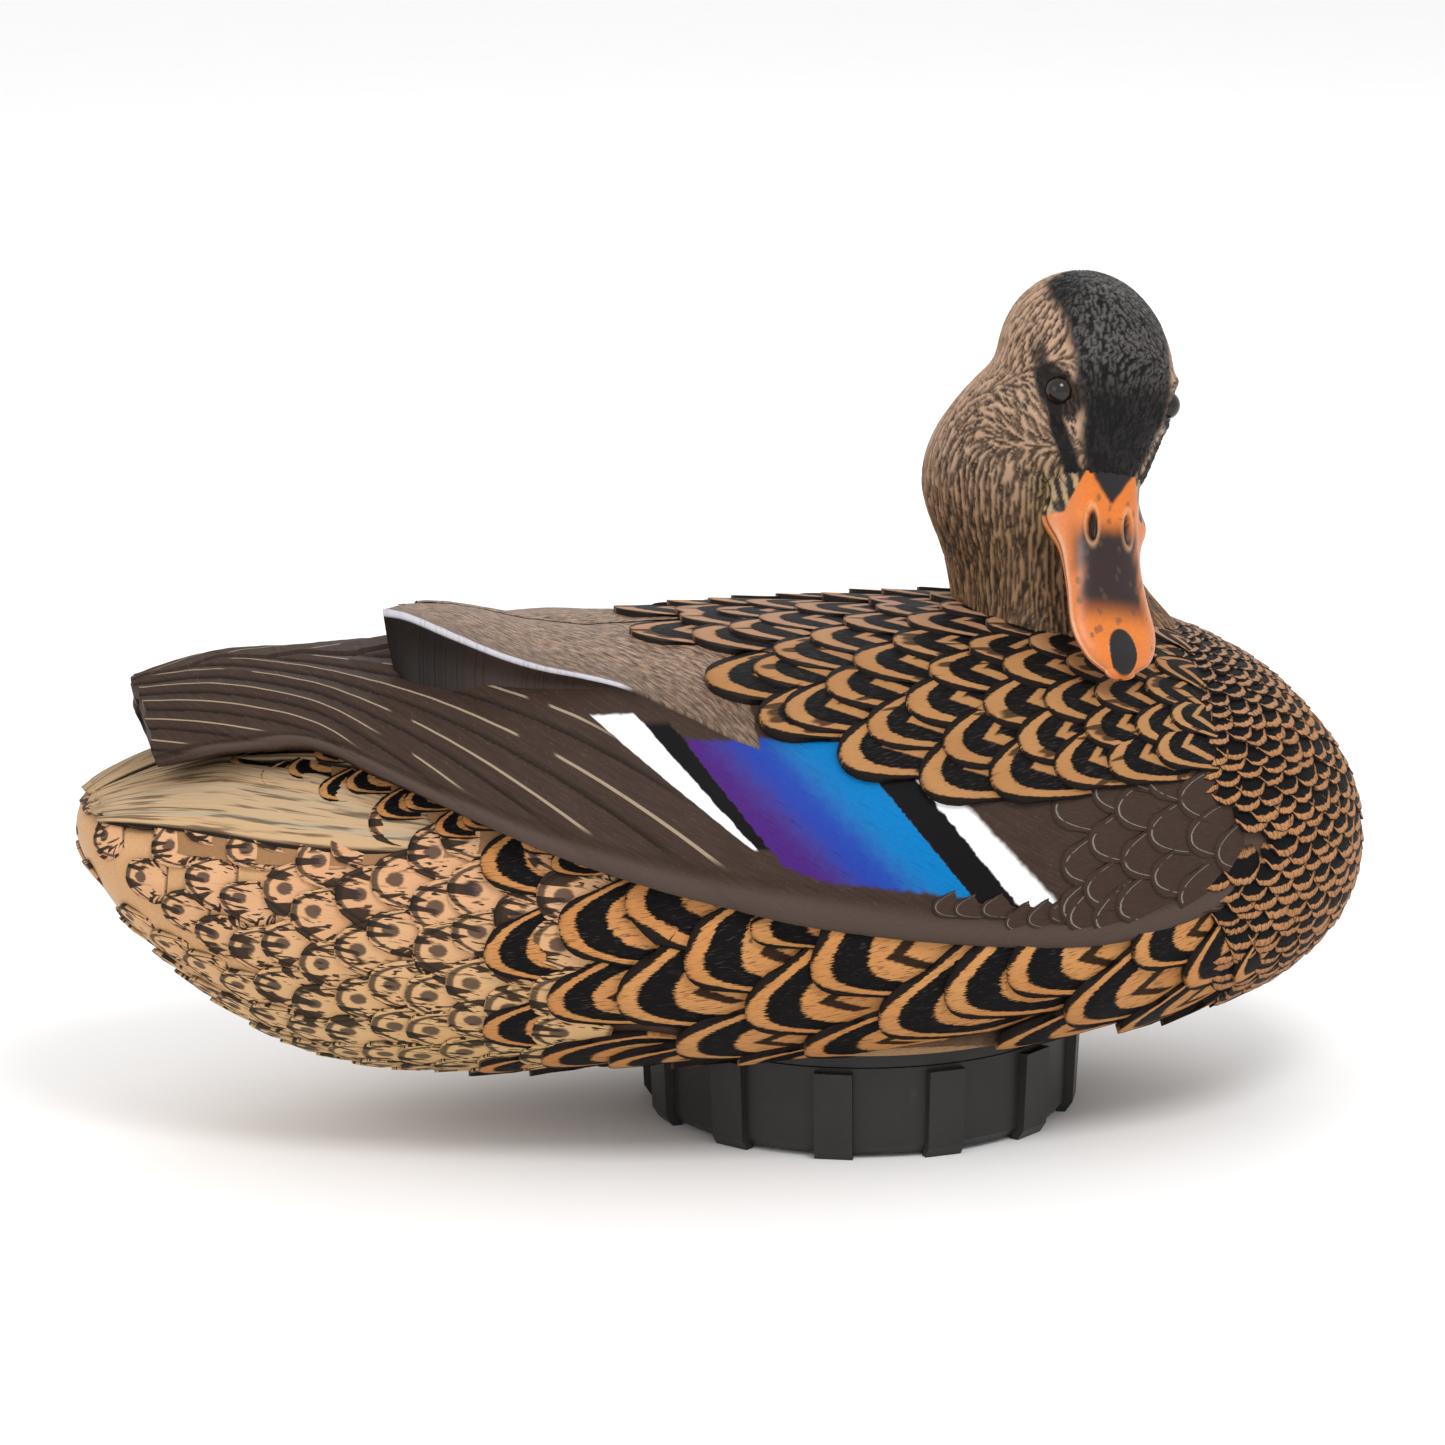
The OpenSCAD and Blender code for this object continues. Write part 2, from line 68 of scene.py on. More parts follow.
# place along the bill's line, centre's height, half width, half height
SKULL = np.array([
    [-36, 0, 2, 2], [-34, 0, 11, 11], [-25, 0, 20.5, 21], [-10, 0.5, 26, 26.5],
    [4, 0, 26.5, 26], [16, -2, 23, 22], [26, -4.5, 18.5, 17], [33, -6, 15.5, 13]])
BILL = np.array([
    [26, -5, 16, 15], [36, -6.5, 14.5, 10.5], [50, -8, 13.5, 7], [64, -8.5, 13.5, 5],
    [78, -8.5, 14.5, 3.8], [87, -8.5, 11, 3.4], [91, -9, 5, 2.6]])
HEAD_AT = np.array([66.0, -10, 222])
YAW, PITCH, ROLL = (math.radians(a) for a in (-87, 51, -20))
# the pod's seat in the belly: its radius, its height, and the radius of the opening
BELLY_R, BELLY_Z, OPENING_R = 68.5, 33.6, 53.0
# the squareness of the wing's section, and the angle at which the two wings meet over the back
WING_POWER, WING_TOP = 2.2, 88.0
WING_THICK = 4.2
HEAD_VOXEL, HEAD_PIT_SPACING = 1.35, 2.45
# lines across the wing as seen from the side: place and height of a point, and lean along X per mm of height
PATCH_REAR, PATCH_FRONT = (-45.0, 104.4, 0.76), (3.7, 99.9, 0.79)
BLACK_REAR, WHITE_REAR = (-48.5, 104.4, 0.89), (-50.0, 104.4, 1.23)

FORE = np.array([math.cos(YAW) * math.cos(PITCH), math.sin(YAW) * math.cos(PITCH), -math.sin(PITCH)])
LEVEL_UP = np.array([math.cos(YAW) * math.sin(PITCH), math.sin(YAW) * math.sin(PITCH), math.cos(PITCH)])
LEVEL_RIGHT = np.cross(FORE, LEVEL_UP)
CROWN = LEVEL_UP * math.cos(ROLL) + LEVEL_RIGHT * math.sin(ROLL)
RIGHT = np.cross(FORE, CROWN)


def smooth(p, u):
    """Smooth curve through the rows of a table, at places u counted in rows."""
    p = np.asarray(p, float)
    u = np.clip(np.asarray(u, float), 0, len(p) - 1 - 1e-6)
    i = np.floor(u).astype(int)
    t = (u - i)[..., None]
    a, b, c, d = (p[np.clip(i + k, 0, len(p) - 1)] for k in (-1, 0, 1, 2))
    return b + 0.5 * t * ((c - a) + t * ((2 * a - 5 * b + 4 * c - d) + t * (3 * b - a - 3 * c + d)))


def dense(table):
    """The table along a fine, rising run of places, for interpolation by place."""
    rows = smooth(table, np.linspace(0, len(table) - 1, 800))
    return rows[np.argsort(rows[:, 0])]


BODY_FINE, WING_FINE = dense(BODY), dense(WING)


def at_place(fine, x):
    """The other columns of a fine table at the places x."""
    return [np.interp(x, fine[:, 0], fine[:, k]) for k in range(1, fine.shape[1])]


def power(c, n):
    """A sine or cosine reshaped for a section of squareness n; 2 is an ellipse."""
    return np.sign(c) * np.abs(c) ** (2 / n)


def body(x, angle):
    """Body surface at a place and an angle in degrees: 0 is the left side, 90 the top, 180 the right."""
    top, low, half, mid, n_top, n_low = at_place(BODY_FINE, x)
    c, s = np.cos(np.radians(angle)), np.sin(np.radians(angle))
    n = np.where(s >= 0, n_top, n_low)
    y = half * power(c, n)
    z = mid + np.where(s >= 0, top - mid, mid - low) * power(s, n)
    return np.stack([x + 0 * y, y, z], -1)


def wing_low(x):
    """Angle of the wing's lower edge."""
    top, _, mid, edge = at_place(WING_FINE, x)
    s = np.clip((edge - mid) / (top - mid), -1, 1)
    return np.degrees(np.arcsin(np.sign(s) * np.abs(s) ** 1.1))


def bend_line(x):
    """Height of the folded wing's upper front edge, which slopes down to the bend."""
    return 116.0 - 0.733 * (x - 76.3)


def wing(x, angle, side=-1):
    """Folded wing's outer surface; side -1 is the right wing."""
    top, half, mid, _ = at_place(WING_FINE, x)
    y = half * power(np.cos(np.radians(angle)), WING_POWER)
    z = mid + (top - mid) * power(np.sin(np.radians(angle)), WING_POWER)
    return np.stack([x + 0 * y, side * y, z], -1)


def head_point(along, across, above):
    """Point in the head's own directions: towards the bill, to its right, and towards the crown."""
    return (HEAD_AT + np.asarray(along)[..., None] * FORE + np.asarray(across)[..., None] * RIGHT
            + np.asarray(above)[..., None] * CROWN)


def normals_of(surface, p, q, dp=0.4, dq=0.4):
    """Unit normals of a surface and its two derivatives per unit of p and of q."""
    sp = (surface(p + dp, q) - surface(p - dp, q)) / (2 * dp)
    sq = (surface(p, q + dq) - surface(p, q - dq)) / (2 * dq)
    n = np.cross(sp, sq)
    n = n / np.maximum(np.linalg.norm(n, axis=-1, keepdims=True), 1e-9)
    at = surface(p, q)
    out = at - np.stack([np.clip(at[..., 0], -190, 110), 0 * at[..., 1], 0 * at[..., 2] + 82], -1)
    return n * np.where((n * out).sum(-1, keepdims=True) < 0, -1.0, 1.0), sp, sq


def past(line, x, z):
    """How far along X a point lies past a slanted line."""
    place, height, lean = line
    return (x - place) + (z - height) * lean


def step(lo, hi, v):
    """Smooth step from 0 at lo to 1 at hi, which may run downwards."""
    t = np.clip((v - lo) / (hi - lo), 0, 1)
    return t * t * (3 - 2 * t)


def noise(v, seed=0):
    """Cheap smooth noise from -1 to 1 of points v in any unit."""
    r = np.random.default_rng(900 + seed)
    out = 0
    for k in range(6):
        f = r.normal(size=v.shape[-1]) * (0.6 + 0.35 * k)
        out = out + np.sin(v @ f + r.uniform(0, 7)) / (1 + 0.35 * k)
    return out / 3.2


def over(under, colour, share):
    """Colours with a share, from 0 to 1, of another laid over them."""
    share = np.asarray(share)[..., None]
    return np.asarray(under) * (1 - share) + np.asarray(colour) * share


# ---------------------------------------------------------------- meshes


def make(name, points, faces, material, body_name="decoy", attrs=None, smooth_shaded=True):
    """Mesh object from points in millimetres, with float attributes on its points."""
    points = np.asarray(points, np.float32).reshape(-1, 3) / 1000
    faces = np.asarray(faces, np.int32)
    m = bpy.data.meshes.new(name)
    m.vertices.add(len(points))
    m.vertices.foreach_set("co", points.ravel())
    m.loops.add(faces.size)
    m.loops.foreach_set("vertex_index", faces.ravel())
    m.polygons.add(len(faces))
    m.polygons.foreach_set("loop_start", np.arange(len(faces), dtype=np.int32) * faces.shape[1])
    m.polygons.foreach_set("use_smooth", np.full(len(faces), smooth_shaded))
    m.update()
    m.validate()
    for key, value in (attrs or {}).items():
        if np.ndim(value) == 2:
            a = m.attributes.new(key, "FLOAT_COLOR", "POINT")
            rgba = np.ones((len(points), 4), np.float32)
            rgba[:, :3] = value
            a.data.foreach_set("color", rgba.ravel())
        else:
            a = m.attributes.new(key, "FLOAT", "POINT")
            a.data.foreach_set("value", np.asarray(value, np.float32).ravel())
    m.materials.append(material)
    o = bpy.data.objects.new(name, m)
    bpy.context.scene.collection.objects.link(o)
    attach(o, body_name)
    return o


def grid_faces(rows, cols, wrap=False, flip=False):
    """Faces of a grid of points; wrap joins its last column to the first."""
    r = np.arange(rows - 1)[:, None]
    c = np.arange(cols if wrap else cols - 1)[None, :]
    c1 = (c + 1) % cols
    f = np.stack([r * cols + c, (r + 1) * cols + c, (r + 1) * cols + c1, r * cols + c1], -1).reshape(-1, 4)
    return f[:, ::-1] if flip else f


# ---------------------------------------------------------------- materials


class V:
    """A shader value, so that patterns can be written as sums."""

    def __init__(self, mat, socket):
        self.mat, self.socket = mat, socket

    def _op(self, kind, a, b=None):
        return self.mat.math(kind, a, b)

    def __add__(self, o): return self._op("ADD", self, o)
    def __radd__(self, o): return self._op("ADD", o, self)
    def __sub__(self, o): return self._op("SUBTRACT", self, o)
    def __rsub__(self, o): return self._op("SUBTRACT", o, self)
    def __mul__(self, o): return self._op("MULTIPLY", self, o)
    def __rmul__(self, o): return self._op("MULTIPLY", o, self)
    def __truediv__(self, o): return self._op("DIVIDE", self, o)
    def __pow__(self, o): return self._op("POWER", self, o)
    def __abs__(self): return self._op("ABSOLUTE", self)


class Mat:
    """A material whose colour, roughness and bump are written as sums of values."""

    def __init__(self, name, rough=0.5, specular=0.4, metallic=0.0, plain=False):
        self.plain = plain
        self.m = bpy.data.materials.new(name)
        self.m.use_nodes = True
        self.nt = self.m.node_tree
        self.bsdf = self.nt.nodes["Principled BSDF"]
        self.bsdf.inputs["Roughness"].default_value = rough
        self.bsdf.inputs["Specular IOR Level"].default_value = specular
        self.bsdf.inputs["Metallic"].default_value = metallic

    def new(self, kind):
        return self.nt.nodes.new(kind)

    def put(self, socket, value):
        if isinstance(value, V):
            self.nt.links.new(value.socket, socket)
        elif isinstance(value, (tuple, list)):
            socket.default_value = (*value, 1.0) if len(value) == 3 and socket.type == "RGBA" else value
        elif value is not None:
            socket.default_value = value

    def math(self, kind, a, b=None):
        n = self.new("ShaderNodeMath")
        n.operation = kind
        for i, v in enumerate((a, b)):
            self.put(n.inputs[i], v)
        return V(self, n.outputs[0])

    def attr(self, name, output="Fac"):
        n = self.new("ShaderNodeAttribute")
        n.attribute_name = name
        return V(self, n.outputs[output])

    def place(self):
        return V(self, self.new("ShaderNodeTexCoord").outputs["Object"])

    def vector(self, x, y, z):
        n = self.new("ShaderNodeCombineXYZ")
        for i, v in enumerate((x, y, z)):
            self.put(n.inputs[i], v)
        return V(self, n.outputs[0])

    def noise(self, vector, scale, detail=2.0, rough=0.5):
        n = self.new("ShaderNodeTexNoise")
        self.put(n.inputs["Vector"], vector)
        n.inputs["Scale"].default_value = scale
        n.inputs["Detail"].default_value = detail
        n.inputs["Roughness"].default_value = rough
        return V(self, n.outputs[0])

    def flecks(self, lo, hi, x, y, z, detail=2.0):
        """Where the noise at (x, y, z) rises from lo to hi."""
        return self.step(lo, hi, self.noise(self.vector(x, y, z), 1.0, detail))

    def rounded(self, fa, fb, squareness, ragged, side=1.0):
        """How far out in a feather a point lies: 1 on its rounded edge, made uneven by ragged."""
        r = self.math("POWER", self.math("MAXIMUM", fa, 0.001), squareness)
        r = r + self.math("POWER", abs(fb), squareness) * side
        return self.math("POWER", r, 1 / squareness) + ragged

    def step(self, lo, hi, v):
        n = self.new("ShaderNodeMapRange")
        n.interpolation_type = "SMOOTHSTEP"
        self.put(n.inputs["Value"], v)
        n.inputs["From Min"].default_value = lo
        n.inputs["From Max"].default_value = hi
        return V(self, n.outputs[0])

    def with_painted_rim_shade(self, colour, amount=0.85):
        """The colour, darkened as painted shade on a feather's sunken rim and covered base."""
        return self.mix(self.step(0.15, 0.8, self.attr("skirt")) * amount, colour, (0.02, 0.015, 0.012))

    def band(self, v, lo, hi, soft):
        """1 between lo and hi, with soft edges."""
        return self.step(lo - soft, lo + soft, v) * (1.0 - self.step(hi - soft, hi + soft, v))

    def mix(self, fac, a, b):
        n = self.new("ShaderNodeMix")
        n.data_type = "RGBA"
        self.put(n.inputs[0], fac)
        self.put(n.inputs[6], a)
        self.put(n.inputs[7], b)
        return V(self, n.outputs[2])

    def mul(self, colour, fac):
        n = self.new("ShaderNodeVectorMath")
        n.operation = "SCALE"
        self.put(n.inputs[0], colour)
        self.put(n.inputs[3], fac)
        return V(self, n.outputs[0])

    def finish(self, colour, height=None, depth=0.4, rough=None):
        """depth is the height's size in millimetres."""
        if not self.plain:
            colour = self.mul(colour, PAINT_VALUE)
        self.put(self.bsdf.inputs["Base Color"], colour)
        if rough is not None:
            self.put(self.bsdf.inputs["Roughness"], rough)
        if height is not None:
            b = self.new("ShaderNodeBump")
            b.inputs["Strength"].default_value = 1.0
            b.inputs["Distance"].default_value = depth / 1000
            self.put(b.inputs["Height"], height)
            self.nt.links.new(b.outputs[0], self.bsdf.inputs["Normal"])
        return self.m


# paints are written brighter than they are used
PAINT_VALUE = 0.72
FEATHER_ROUGH, FEATHER_SHINE = 0.55, 0.07
WHITE = (1.25, 1.25, 1.25)
BLACK = (0.007, 0.006, 0.006)
DARK = (0.020, 0.014, 0.011)


def feather_values(s):
    """Usual values of a feather's shader: along, across from -1 to 1, tone, and a barb streak pattern."""
    fa, fb, tone = s.attr("fa"), s.attr("fb"), s.attr("tone")
    fl, fw = s.attr("fl"), s.attr("fw")
    along, across = fa * fl, fb * fw
    slant = s.vector((along - abs(across) * 0.9) * 0.35, across * 2.2 + along * 0.25, tone * 37.0)
    barbs = s.noise(slant, 1.0, 3.0, 0.6)
    return fa, fb, tone, along, across, barbs


def breast_material():
    s = Mat("breast_scales", FEATHER_ROUGH, FEATHER_SHINE)
    fa, fb, tone, along, across, barbs = feather_values(s)
    wob = (s.noise(s.vector(across * 0.5, tone * 31.0, 0.0), 1.0, 2.0) - 0.5) * 0.16
    e = fa + wob
    ticks = s.flecks(0.52, 0.62, along * 0.5, across * 2.6, tone * 17.0, 1.0)
    far = s.attr("zone")
    tan = s.mix(s.attr("warm"), (0.50, 0.21, 0.075), (0.66, 0.29, 0.10))
    tan = s.mix(s.noise(s.place(), 60.0, 2.0) * 0.5, tan, (0.74, 0.42, 0.23))
    tan = s.mix(far, tan, (0.48, 0.30, 0.20))
    inner = s.mix(ticks * 0.9, s.mul(tan, 0.75), DARK)
    rim = 0.80 - (s.noise(s.place(), 45.0, 2.0) - 0.5) * 0.24
    colour = s.mix(s.step(0.26, 0.32, e), inner, BLACK)
    colour = s.mix(s.step(-0.02, 0.02, e - rim), colour, s.mix(ticks * 0.6, tan, DARK))
    # the thin dark edge at each scale's tip is painted shadow
    colour = s.mix(s.step(0.955, 0.985, e), colour, DARK)
    height = s.step(0.66, 0.76, e) * 0.9 + barbs * 0.45
    return s.finish(s.with_painted_rim_shade(colour), height, 0.5)


def flank_material():
    s = Mat("flank_feathers", FEATHER_ROUGH, FEATHER_SHINE)
    fa, fb, tone, along, across, barbs = feather_values(s)
    r = s.rounded(fa, fb, 2.6, (barbs - 0.5) * 0.10, side=0.92)
    warm = s.noise(s.place(), 26.0, 3.0)
    orange = s.mix(warm, (0.66, 0.24, 0.060), (0.80, 0.42, 0.16))
    fine = s.flecks(0.56, 0.66, along * 0.22, across * 2.4, tone * 11.0)
    glint = s.flecks(0.60, 0.70, along * 0.3, across * 3.6, tone * 7.0)
    inside = s.mix(fine * 0.75, orange, (0.09, 0.06, 0.045))
    wedge = s.band(fa + abs(fb) * 0.6 + (barbs - 0.5) * 0.08, 0.44, 0.555, 0.015) * s.step(0.40, 0.34, abs(fb))
    inside = s.mix(wedge * 0.95, inside, BLACK)
    colour = s.mix(s.step(0.64, 0.665, r), inside, s.mix(glint * 0.3, BLACK, (0.16, 0.13, 0.11)))
    colour = s.mix(s.step(0.87, 0.89, r), colour, s.mix(fine * 0.4, orange, DARK))
    colour = s.mix(s.step(0.985, 1.01, r), colour, DARK)
    height = barbs * 1.0 + s.step(0.8, 0.9, r) * 0.4
    return s.finish(s.with_painted_rim_shade(colour), height, 0.5)


def rump_material():
    s = Mat("rump_feathers", FEATHER_ROUGH, FEATHER_SHINE)
    fa, fb, tone, along, across, barbs = feather_values(s)
    r = s.rounded(fa, fb, 2.8, (barbs - 0.5) * 0.05)
    peach = s.mix(s.attr("warm"), (0.78, 0.38, 0.19), (0.80, 0.50, 0.19))
    peach = s.mix(s.noise(s.place(), 40.0, 2.0) * 0.7, peach, (0.95, 0.62, 0.36))
    turned = s.math("ARCTAN2", across, along + s.attr("fl") * 0.15)
    comb = s.noise(s.vector(turned * 9.0, r * 1.3, tone * 23.0), 1.0, 0.0)
    comb = s.step(0.55, 0.60, comb) * s.step(0.58, 0.70, r + (barbs - 0.5) * 0.25)
    dash = s.flecks(0.595, 0.645, along * 0.30, across * 1.3, tone * 23.0, 0.5)
    dash = s.math("MAXIMUM", dash * s.step(0.15, 0.4, abs(fb)), comb)
    colour = s.mix(dash * 0.95, peach, (0.025, 0.016, 0.012))
    spot = ((fa - 0.66) / 0.13) ** 2.0 + (fb / 0.24) ** 2.0
    spot = 1.0 - s.step(0.6, 1.3, spot + (barbs - 0.5) * 1.2)
    colour = s.mix(spot * 0.85, colour, (0.05, 0.035, 0.035))
    edge = s.band(r, 0.90, 0.99, 0.02) * s.step(0.35, 0.55, fa) * s.step(0.30, 0.36, barbs)
    colour = s.mix(edge * 0.85, colour, (0.035, 0.026, 0.022))
    height = barbs * 0.6 - dash * 0.7 - edge * 0.6
    return s.finish(s.with_painted_rim_shade(colour, 0.7), height, 0.5)


def tail_material():
    s = Mat("tail_feathers", FEATHER_ROUGH, FEATHER_SHINE)
    fa, fb, tone, along, across, barbs = feather_values(s)
    lines = s.noise(s.vector(along * 0.05, across * 1.6, tone * 13.0), 1.0, 2.0)
    pale = s.mix(tone, (0.72, 0.46, 0.24), (0.56, 0.45, 0.31))
    colour = s.mix(s.step(0.50, 0.64, lines) * 0.8, pale, (0.12, 0.08, 0.05))
    colour = s.mix(s.step(0.55, 0.85, abs(fb)), colour, (0.025, 0.018, 0.014))
    return s.finish(s.with_painted_rim_shade(colour), lines * -0.8 + (1.0 - abs(fb)) * 0.8, 0.6)


def scapular_material():
    s = Mat("scapular_feathers", FEATHER_ROUGH, FEATHER_SHINE)
    fa, fb, tone, along, across, barbs = feather_values(s)
    r = s.rounded(fa, fb, 2.4, (barbs - 0.5) * 0.07)
    ochre = s.mix(s.noise(s.place(), 45.0, 2.0), (0.46, 0.20, 0.065), (0.68, 0.36, 0.15))
    ochre = s.mix(s.attr("zone"), ochre, (0.56, 0.33, 0.22))
    glint = s.flecks(0.57, 0.68, along * 0.3, across * 3.2, tone * 7.0)
    dark = s.mix(glint * 0.35, (0.008, 0.007, 0.007), (0.12, 0.095, 0.08))
    edge_along = s.math("ARCTAN2", across, along) * 9.0 + tone * 20.0
    tick = s.step(0.66, 0.72, s.noise(s.vector(edge_along, r * 1.5, 0.0), 1.2, 0.0))
    margin = s.mix(tick * 0.85, ochre, DARK)
    colour = s.mix(s.step(0.845, 0.865, r), dark, margin)
    vee = fa + abs(fb) * 0.42 + (barbs - 0.5) * 0.05
    lower = s.step(-0.05, 0.05, fb)
    inner = s.band(vee, 0.56, 0.70, 0.015) * lower + s.band(vee, 0.61, 0.70, 0.015) * (1.0 - lower)
    inner = inner * (1.0 - s.step(0.58, 0.64, abs(fb))) * s.step(0.1, 0.16, fa)
    colour = s.mix(inner * 0.95, colour, s.mix(tick * 0.8, ochre, DARK))
    colour = s.mix(s.step(0.985, 1.01, r), colour, DARK)
    height = barbs * 1.0 + s.step(0.8, 0.9, r) * 0.4
    return s.finish(s.with_painted_rim_shade(colour), height, 0.5)


def covert_material():
    s = Mat("covert_feathers", FEATHER_ROUGH, FEATHER_SHINE)
    fa, fb, tone, along, across, barbs = feather_values(s)
    r = s.rounded(fa, fb, 2.4, (barbs - 0.5) * 0.03)
    brown = s.mix(barbs, (0.044, 0.026, 0.019), (0.088, 0.056, 0.042))
    line = s.band(r, 0.930, 0.950, 0.009) * s.step(0.30, 0.5, fa)
    broken = s.flecks(0.36, 0.44, along * 0.3, across * 0.3, tone * 9.0, 1.0)
    colour = s.mix(line * broken * 0.8, brown, (0.36, 0.33, 0.31))
    return s.finish(s.with_painted_rim_shade(colour, 0.4), barbs * 0.8, 0.35)


def wing_material():
    """The folded wing: barbed brown, pale feather shafts, and the coloured patch between its bars."""
    s = Mat("wing_surface", FEATHER_ROUGH, FEATHER_SHINE)
    x, z, v = s.attr("wx"), s.attr("wz"), s.attr("wv")
    barb = s.noise(s.vector(x * 0.10 + v * 1.2, z * 0.9 + x * 0.5, 0.0), 1.0, 4.0, 0.6)
    fine = s.noise(s.vector(x * 0.45 - z * 0.3, z * 1.6 + x * 0.9, 3.0), 1.0, 3.0, 0.6)
    brown = s.mix(barb, (0.034, 0.020, 0.015), (0.092, 0.058, 0.044))
    brown = s.mix(s.step(0.60, 0.70, fine) * 0.35, brown, (0.18, 0.13, 0.105))
    gap = s.math("FRACT", v)
    brown = s.mix(s.step(0.16, 0.0, gap) * s.attr("shaft") * 0.7, brown, (0.012, 0.009, 0.008))
    shaft = s.math("ABSOLUTE", gap - 0.42)
    broken = s.flecks(0.37, 0.42, x * 0.05, s.math("FLOOR", v) * 5.0, 0.0, 1.0)
    shaft = (1.0 - s.step(0.026, 0.045, shaft)) * s.attr("shaft") * broken
    colour = s.mix(shaft * 0.85, brown, (0.50, 0.38, 0.26))
    lip = s.attr("lip")
    colour = s.mix(lip, colour, s.mix(fine, (0.085, 0.058, 0.046), (0.12, 0.085, 0.070)))
    # coloured patch: distances in millimetres along X from slanted lines seen from the side
    wave = (s.noise(s.vector(x * 0.3, z * 0.3, 0.0), 1.0, 2.0) - 0.5) * 2.4
    jag = (s.noise(s.vector(x * 0.7, z * 0.9, 5.0), 1.0, 3.0) - 0.5) * 2.0
    left = past(PATCH_REAR, x, z) + wave
    low = (z - 85.0) - (20.0 - x) * 0.16 - s.math("MAXIMUM", (-28.0 - x), 0.0) * 0.25
    bar = past(PATCH_FRONT, x, z)
    roof = (1.0 - s.step(131.0, 132.5, z + wave))
    inside = s.step(0.0, 0.8, left + jag * 0.6) * s.step(0.0, 1.6, low + wave)
    inside = inside * (1.0 - s.step(1.7, 2.7, bar + jag)) * roof
    t = s.step(53.0, 92.0, x + z * 0.9 + wave * 3.0)
    purple = s.mix(fine, (0.060, 0.014, 0.17), (0.095, 0.025, 0.25))
    azure = s.mix(fine, (0.0, 0.17, 0.50), (0.004, 0.26, 0.64))
    patch = s.mix(t, purple, azure)
    patch = s.mix(s.band(t, 0.2, 0.7, 0.2) * 0.6, patch, (0.012, 0.04, 0.46))
    patch = s.mix(s.step(0.60, 0.66, barb) * 0.35, patch, s.mul(patch, 0.45))
    colour = s.mix(inside, colour, patch)
    above = s.step(-2.5, -0.5, low + wave * 0.6)
    white_from = s.step(13.0, 14.0, bar + wave)
    colour = s.mix(s.step(1.8, 2.6, bar + jag) * (1.0 - white_from) * above, colour, BLACK)
    reach = 22.0 + s.math("MAXIMUM", 115.0 - z, 0.0) * 0.12
    white = white_from * (1.0 - s.step(-1.8, 1.0, bar + wave * 0.8 - reach)) * above
    colour = s.mix(white, colour, WHITE)
    # the bars behind the patch: white that narrows to a point at its lower end, then black
    far = s.step(102.6, 104.0, z)
    right_of = past(BLACK_REAR, x, z) + wave * 0.6
    left_of = past(WHITE_REAR, x, z) + wave * 0.4
    dark = s.step(-0.4, 0.4, right_of) * (1.0 - s.step(0.0, 0.8, left + jag * 0.6))
    dark = dark * far * (1.0 - s.step(135.0, 137.0, z))
    colour = s.mix(dark, colour, BLACK)
    pale = s.step(-0.4, 0.4, left_of) * (1.0 - s.step(-0.4, 0.4, right_of))
    pale = pale * far * (1.0 - s.step(137.6, 138.6, z + wave * 0.5))
    colour = s.mix(pale, colour, WHITE)
    return s.finish(colour, barb * 0.5 + fine * 0.5 + shaft, 0.35)


def tertial_material():
    s = Mat("tertial_feathers", 0.5, 0.2)
    x, v, e = s.attr("wx"), s.attr("wv"), s.attr("edge")
    y = v * 42.0
    barb = s.noise(s.vector(x * 0.16 + y * 0.35, y * 0.75 - x * 0.42, 0.0), 1.0, 4.0, 0.65)
    lines = s.flecks(0.52, 0.66, x * 0.12 + y * 0.3, y * 1.5 - x * 0.9, 7.0)
    colour = s.mix(s.step(0.32, 0.68, barb), (0.12, 0.068, 0.042), (0.52, 0.34, 0.23))
    colour = s.mix(lines * 0.65, colour, (0.05, 0.030, 0.020))
    colour = s.mix(s.step(0.62, 0.95, v) * 0.4, colour, (0.10, 0.066, 0.048))
    # the wall and the tip under the feather: the wing's brown at the front, darkening towards the tip as painted
    # shade
    wall_brown_and_shade = s.mix(s.step(-138.0, -112.0, x), (0.020, 0.014, 0.012), (0.062, 0.040, 0.031))
    colour = s.mix(s.attr("under"), colour, wall_brown_and_shade)
    colour = s.mix(s.step(0.3, 0.8, e), colour, (0.75, 0.73, 0.78))
    return s.finish(colour, barb - lines * 0.6, 0.4)


def painted_material(name, rough=0.4, depth=0.25, coat=0.0):
    """Colour from the mesh, with fine grain."""
    s = Mat(name, rough, 0.12)
    grain = s.noise(s.place(), 900.0, 3.0, 0.6)
    speck = s.noise(s.place(), 420.0, 4.0, 0.7)
    colour = s.mul(s.attr("paint", "Color"), 0.80 + grain * 0.36)
    s.bsdf.inputs["Coat Weight"].default_value = coat
    s.bsdf.inputs["Coat Roughness"].default_value = 0.3
    return s.finish(colour, speck, depth)


def moulded_material(name, colour, rough=0.5, edge=(0.09, 0.09, 0.095)):
    """Plain plastic or rubber with a fine grain and paler scuffs."""
    s = Mat(name, rough, 0.25)
    grain = s.noise(s.place(), 700.0, 3.0, 0.6)
    cloud = s.noise(s.place(), 60.0, 3.0, 0.55)
    scuff = s.step(0.62, 0.74, s.noise(s.place(), 150.0, 5.0, 0.75))
    c = s.mix(cloud, colour, tuple(1.5 * v for v in colour))
    c = s.mix(scuff * 0.35, c, edge)
    return s.finish(c, grain * 0.6 + scuff * 0.2, 0.12, rough - 0.08 + cloud * 0.16)


def metal_material(name, colour, rough=0.3):
    """Metal with turned lines round its height."""
    s = Mat(name, rough, 0.5, 1.0, plain=True)
    sep = s.new("ShaderNodeSeparateXYZ")
    s.put(sep.inputs[0], s.place())
    x, y, z = (V(s, sep.outputs[k]) for k in range(3))
    line = s.noise(s.vector(x * 60.0, y * 60.0, z * 1400.0), 1.0, 2.0)
    cloud = s.noise(s.place(), 90.0, 3.0)
    c = s.mix(cloud, colour, tuple(0.75 * v for v in colour))
    return s.finish(c, line, 0.03, rough - 0.08 + line * 0.18)


# ---------------------------------------------------------------- feathers


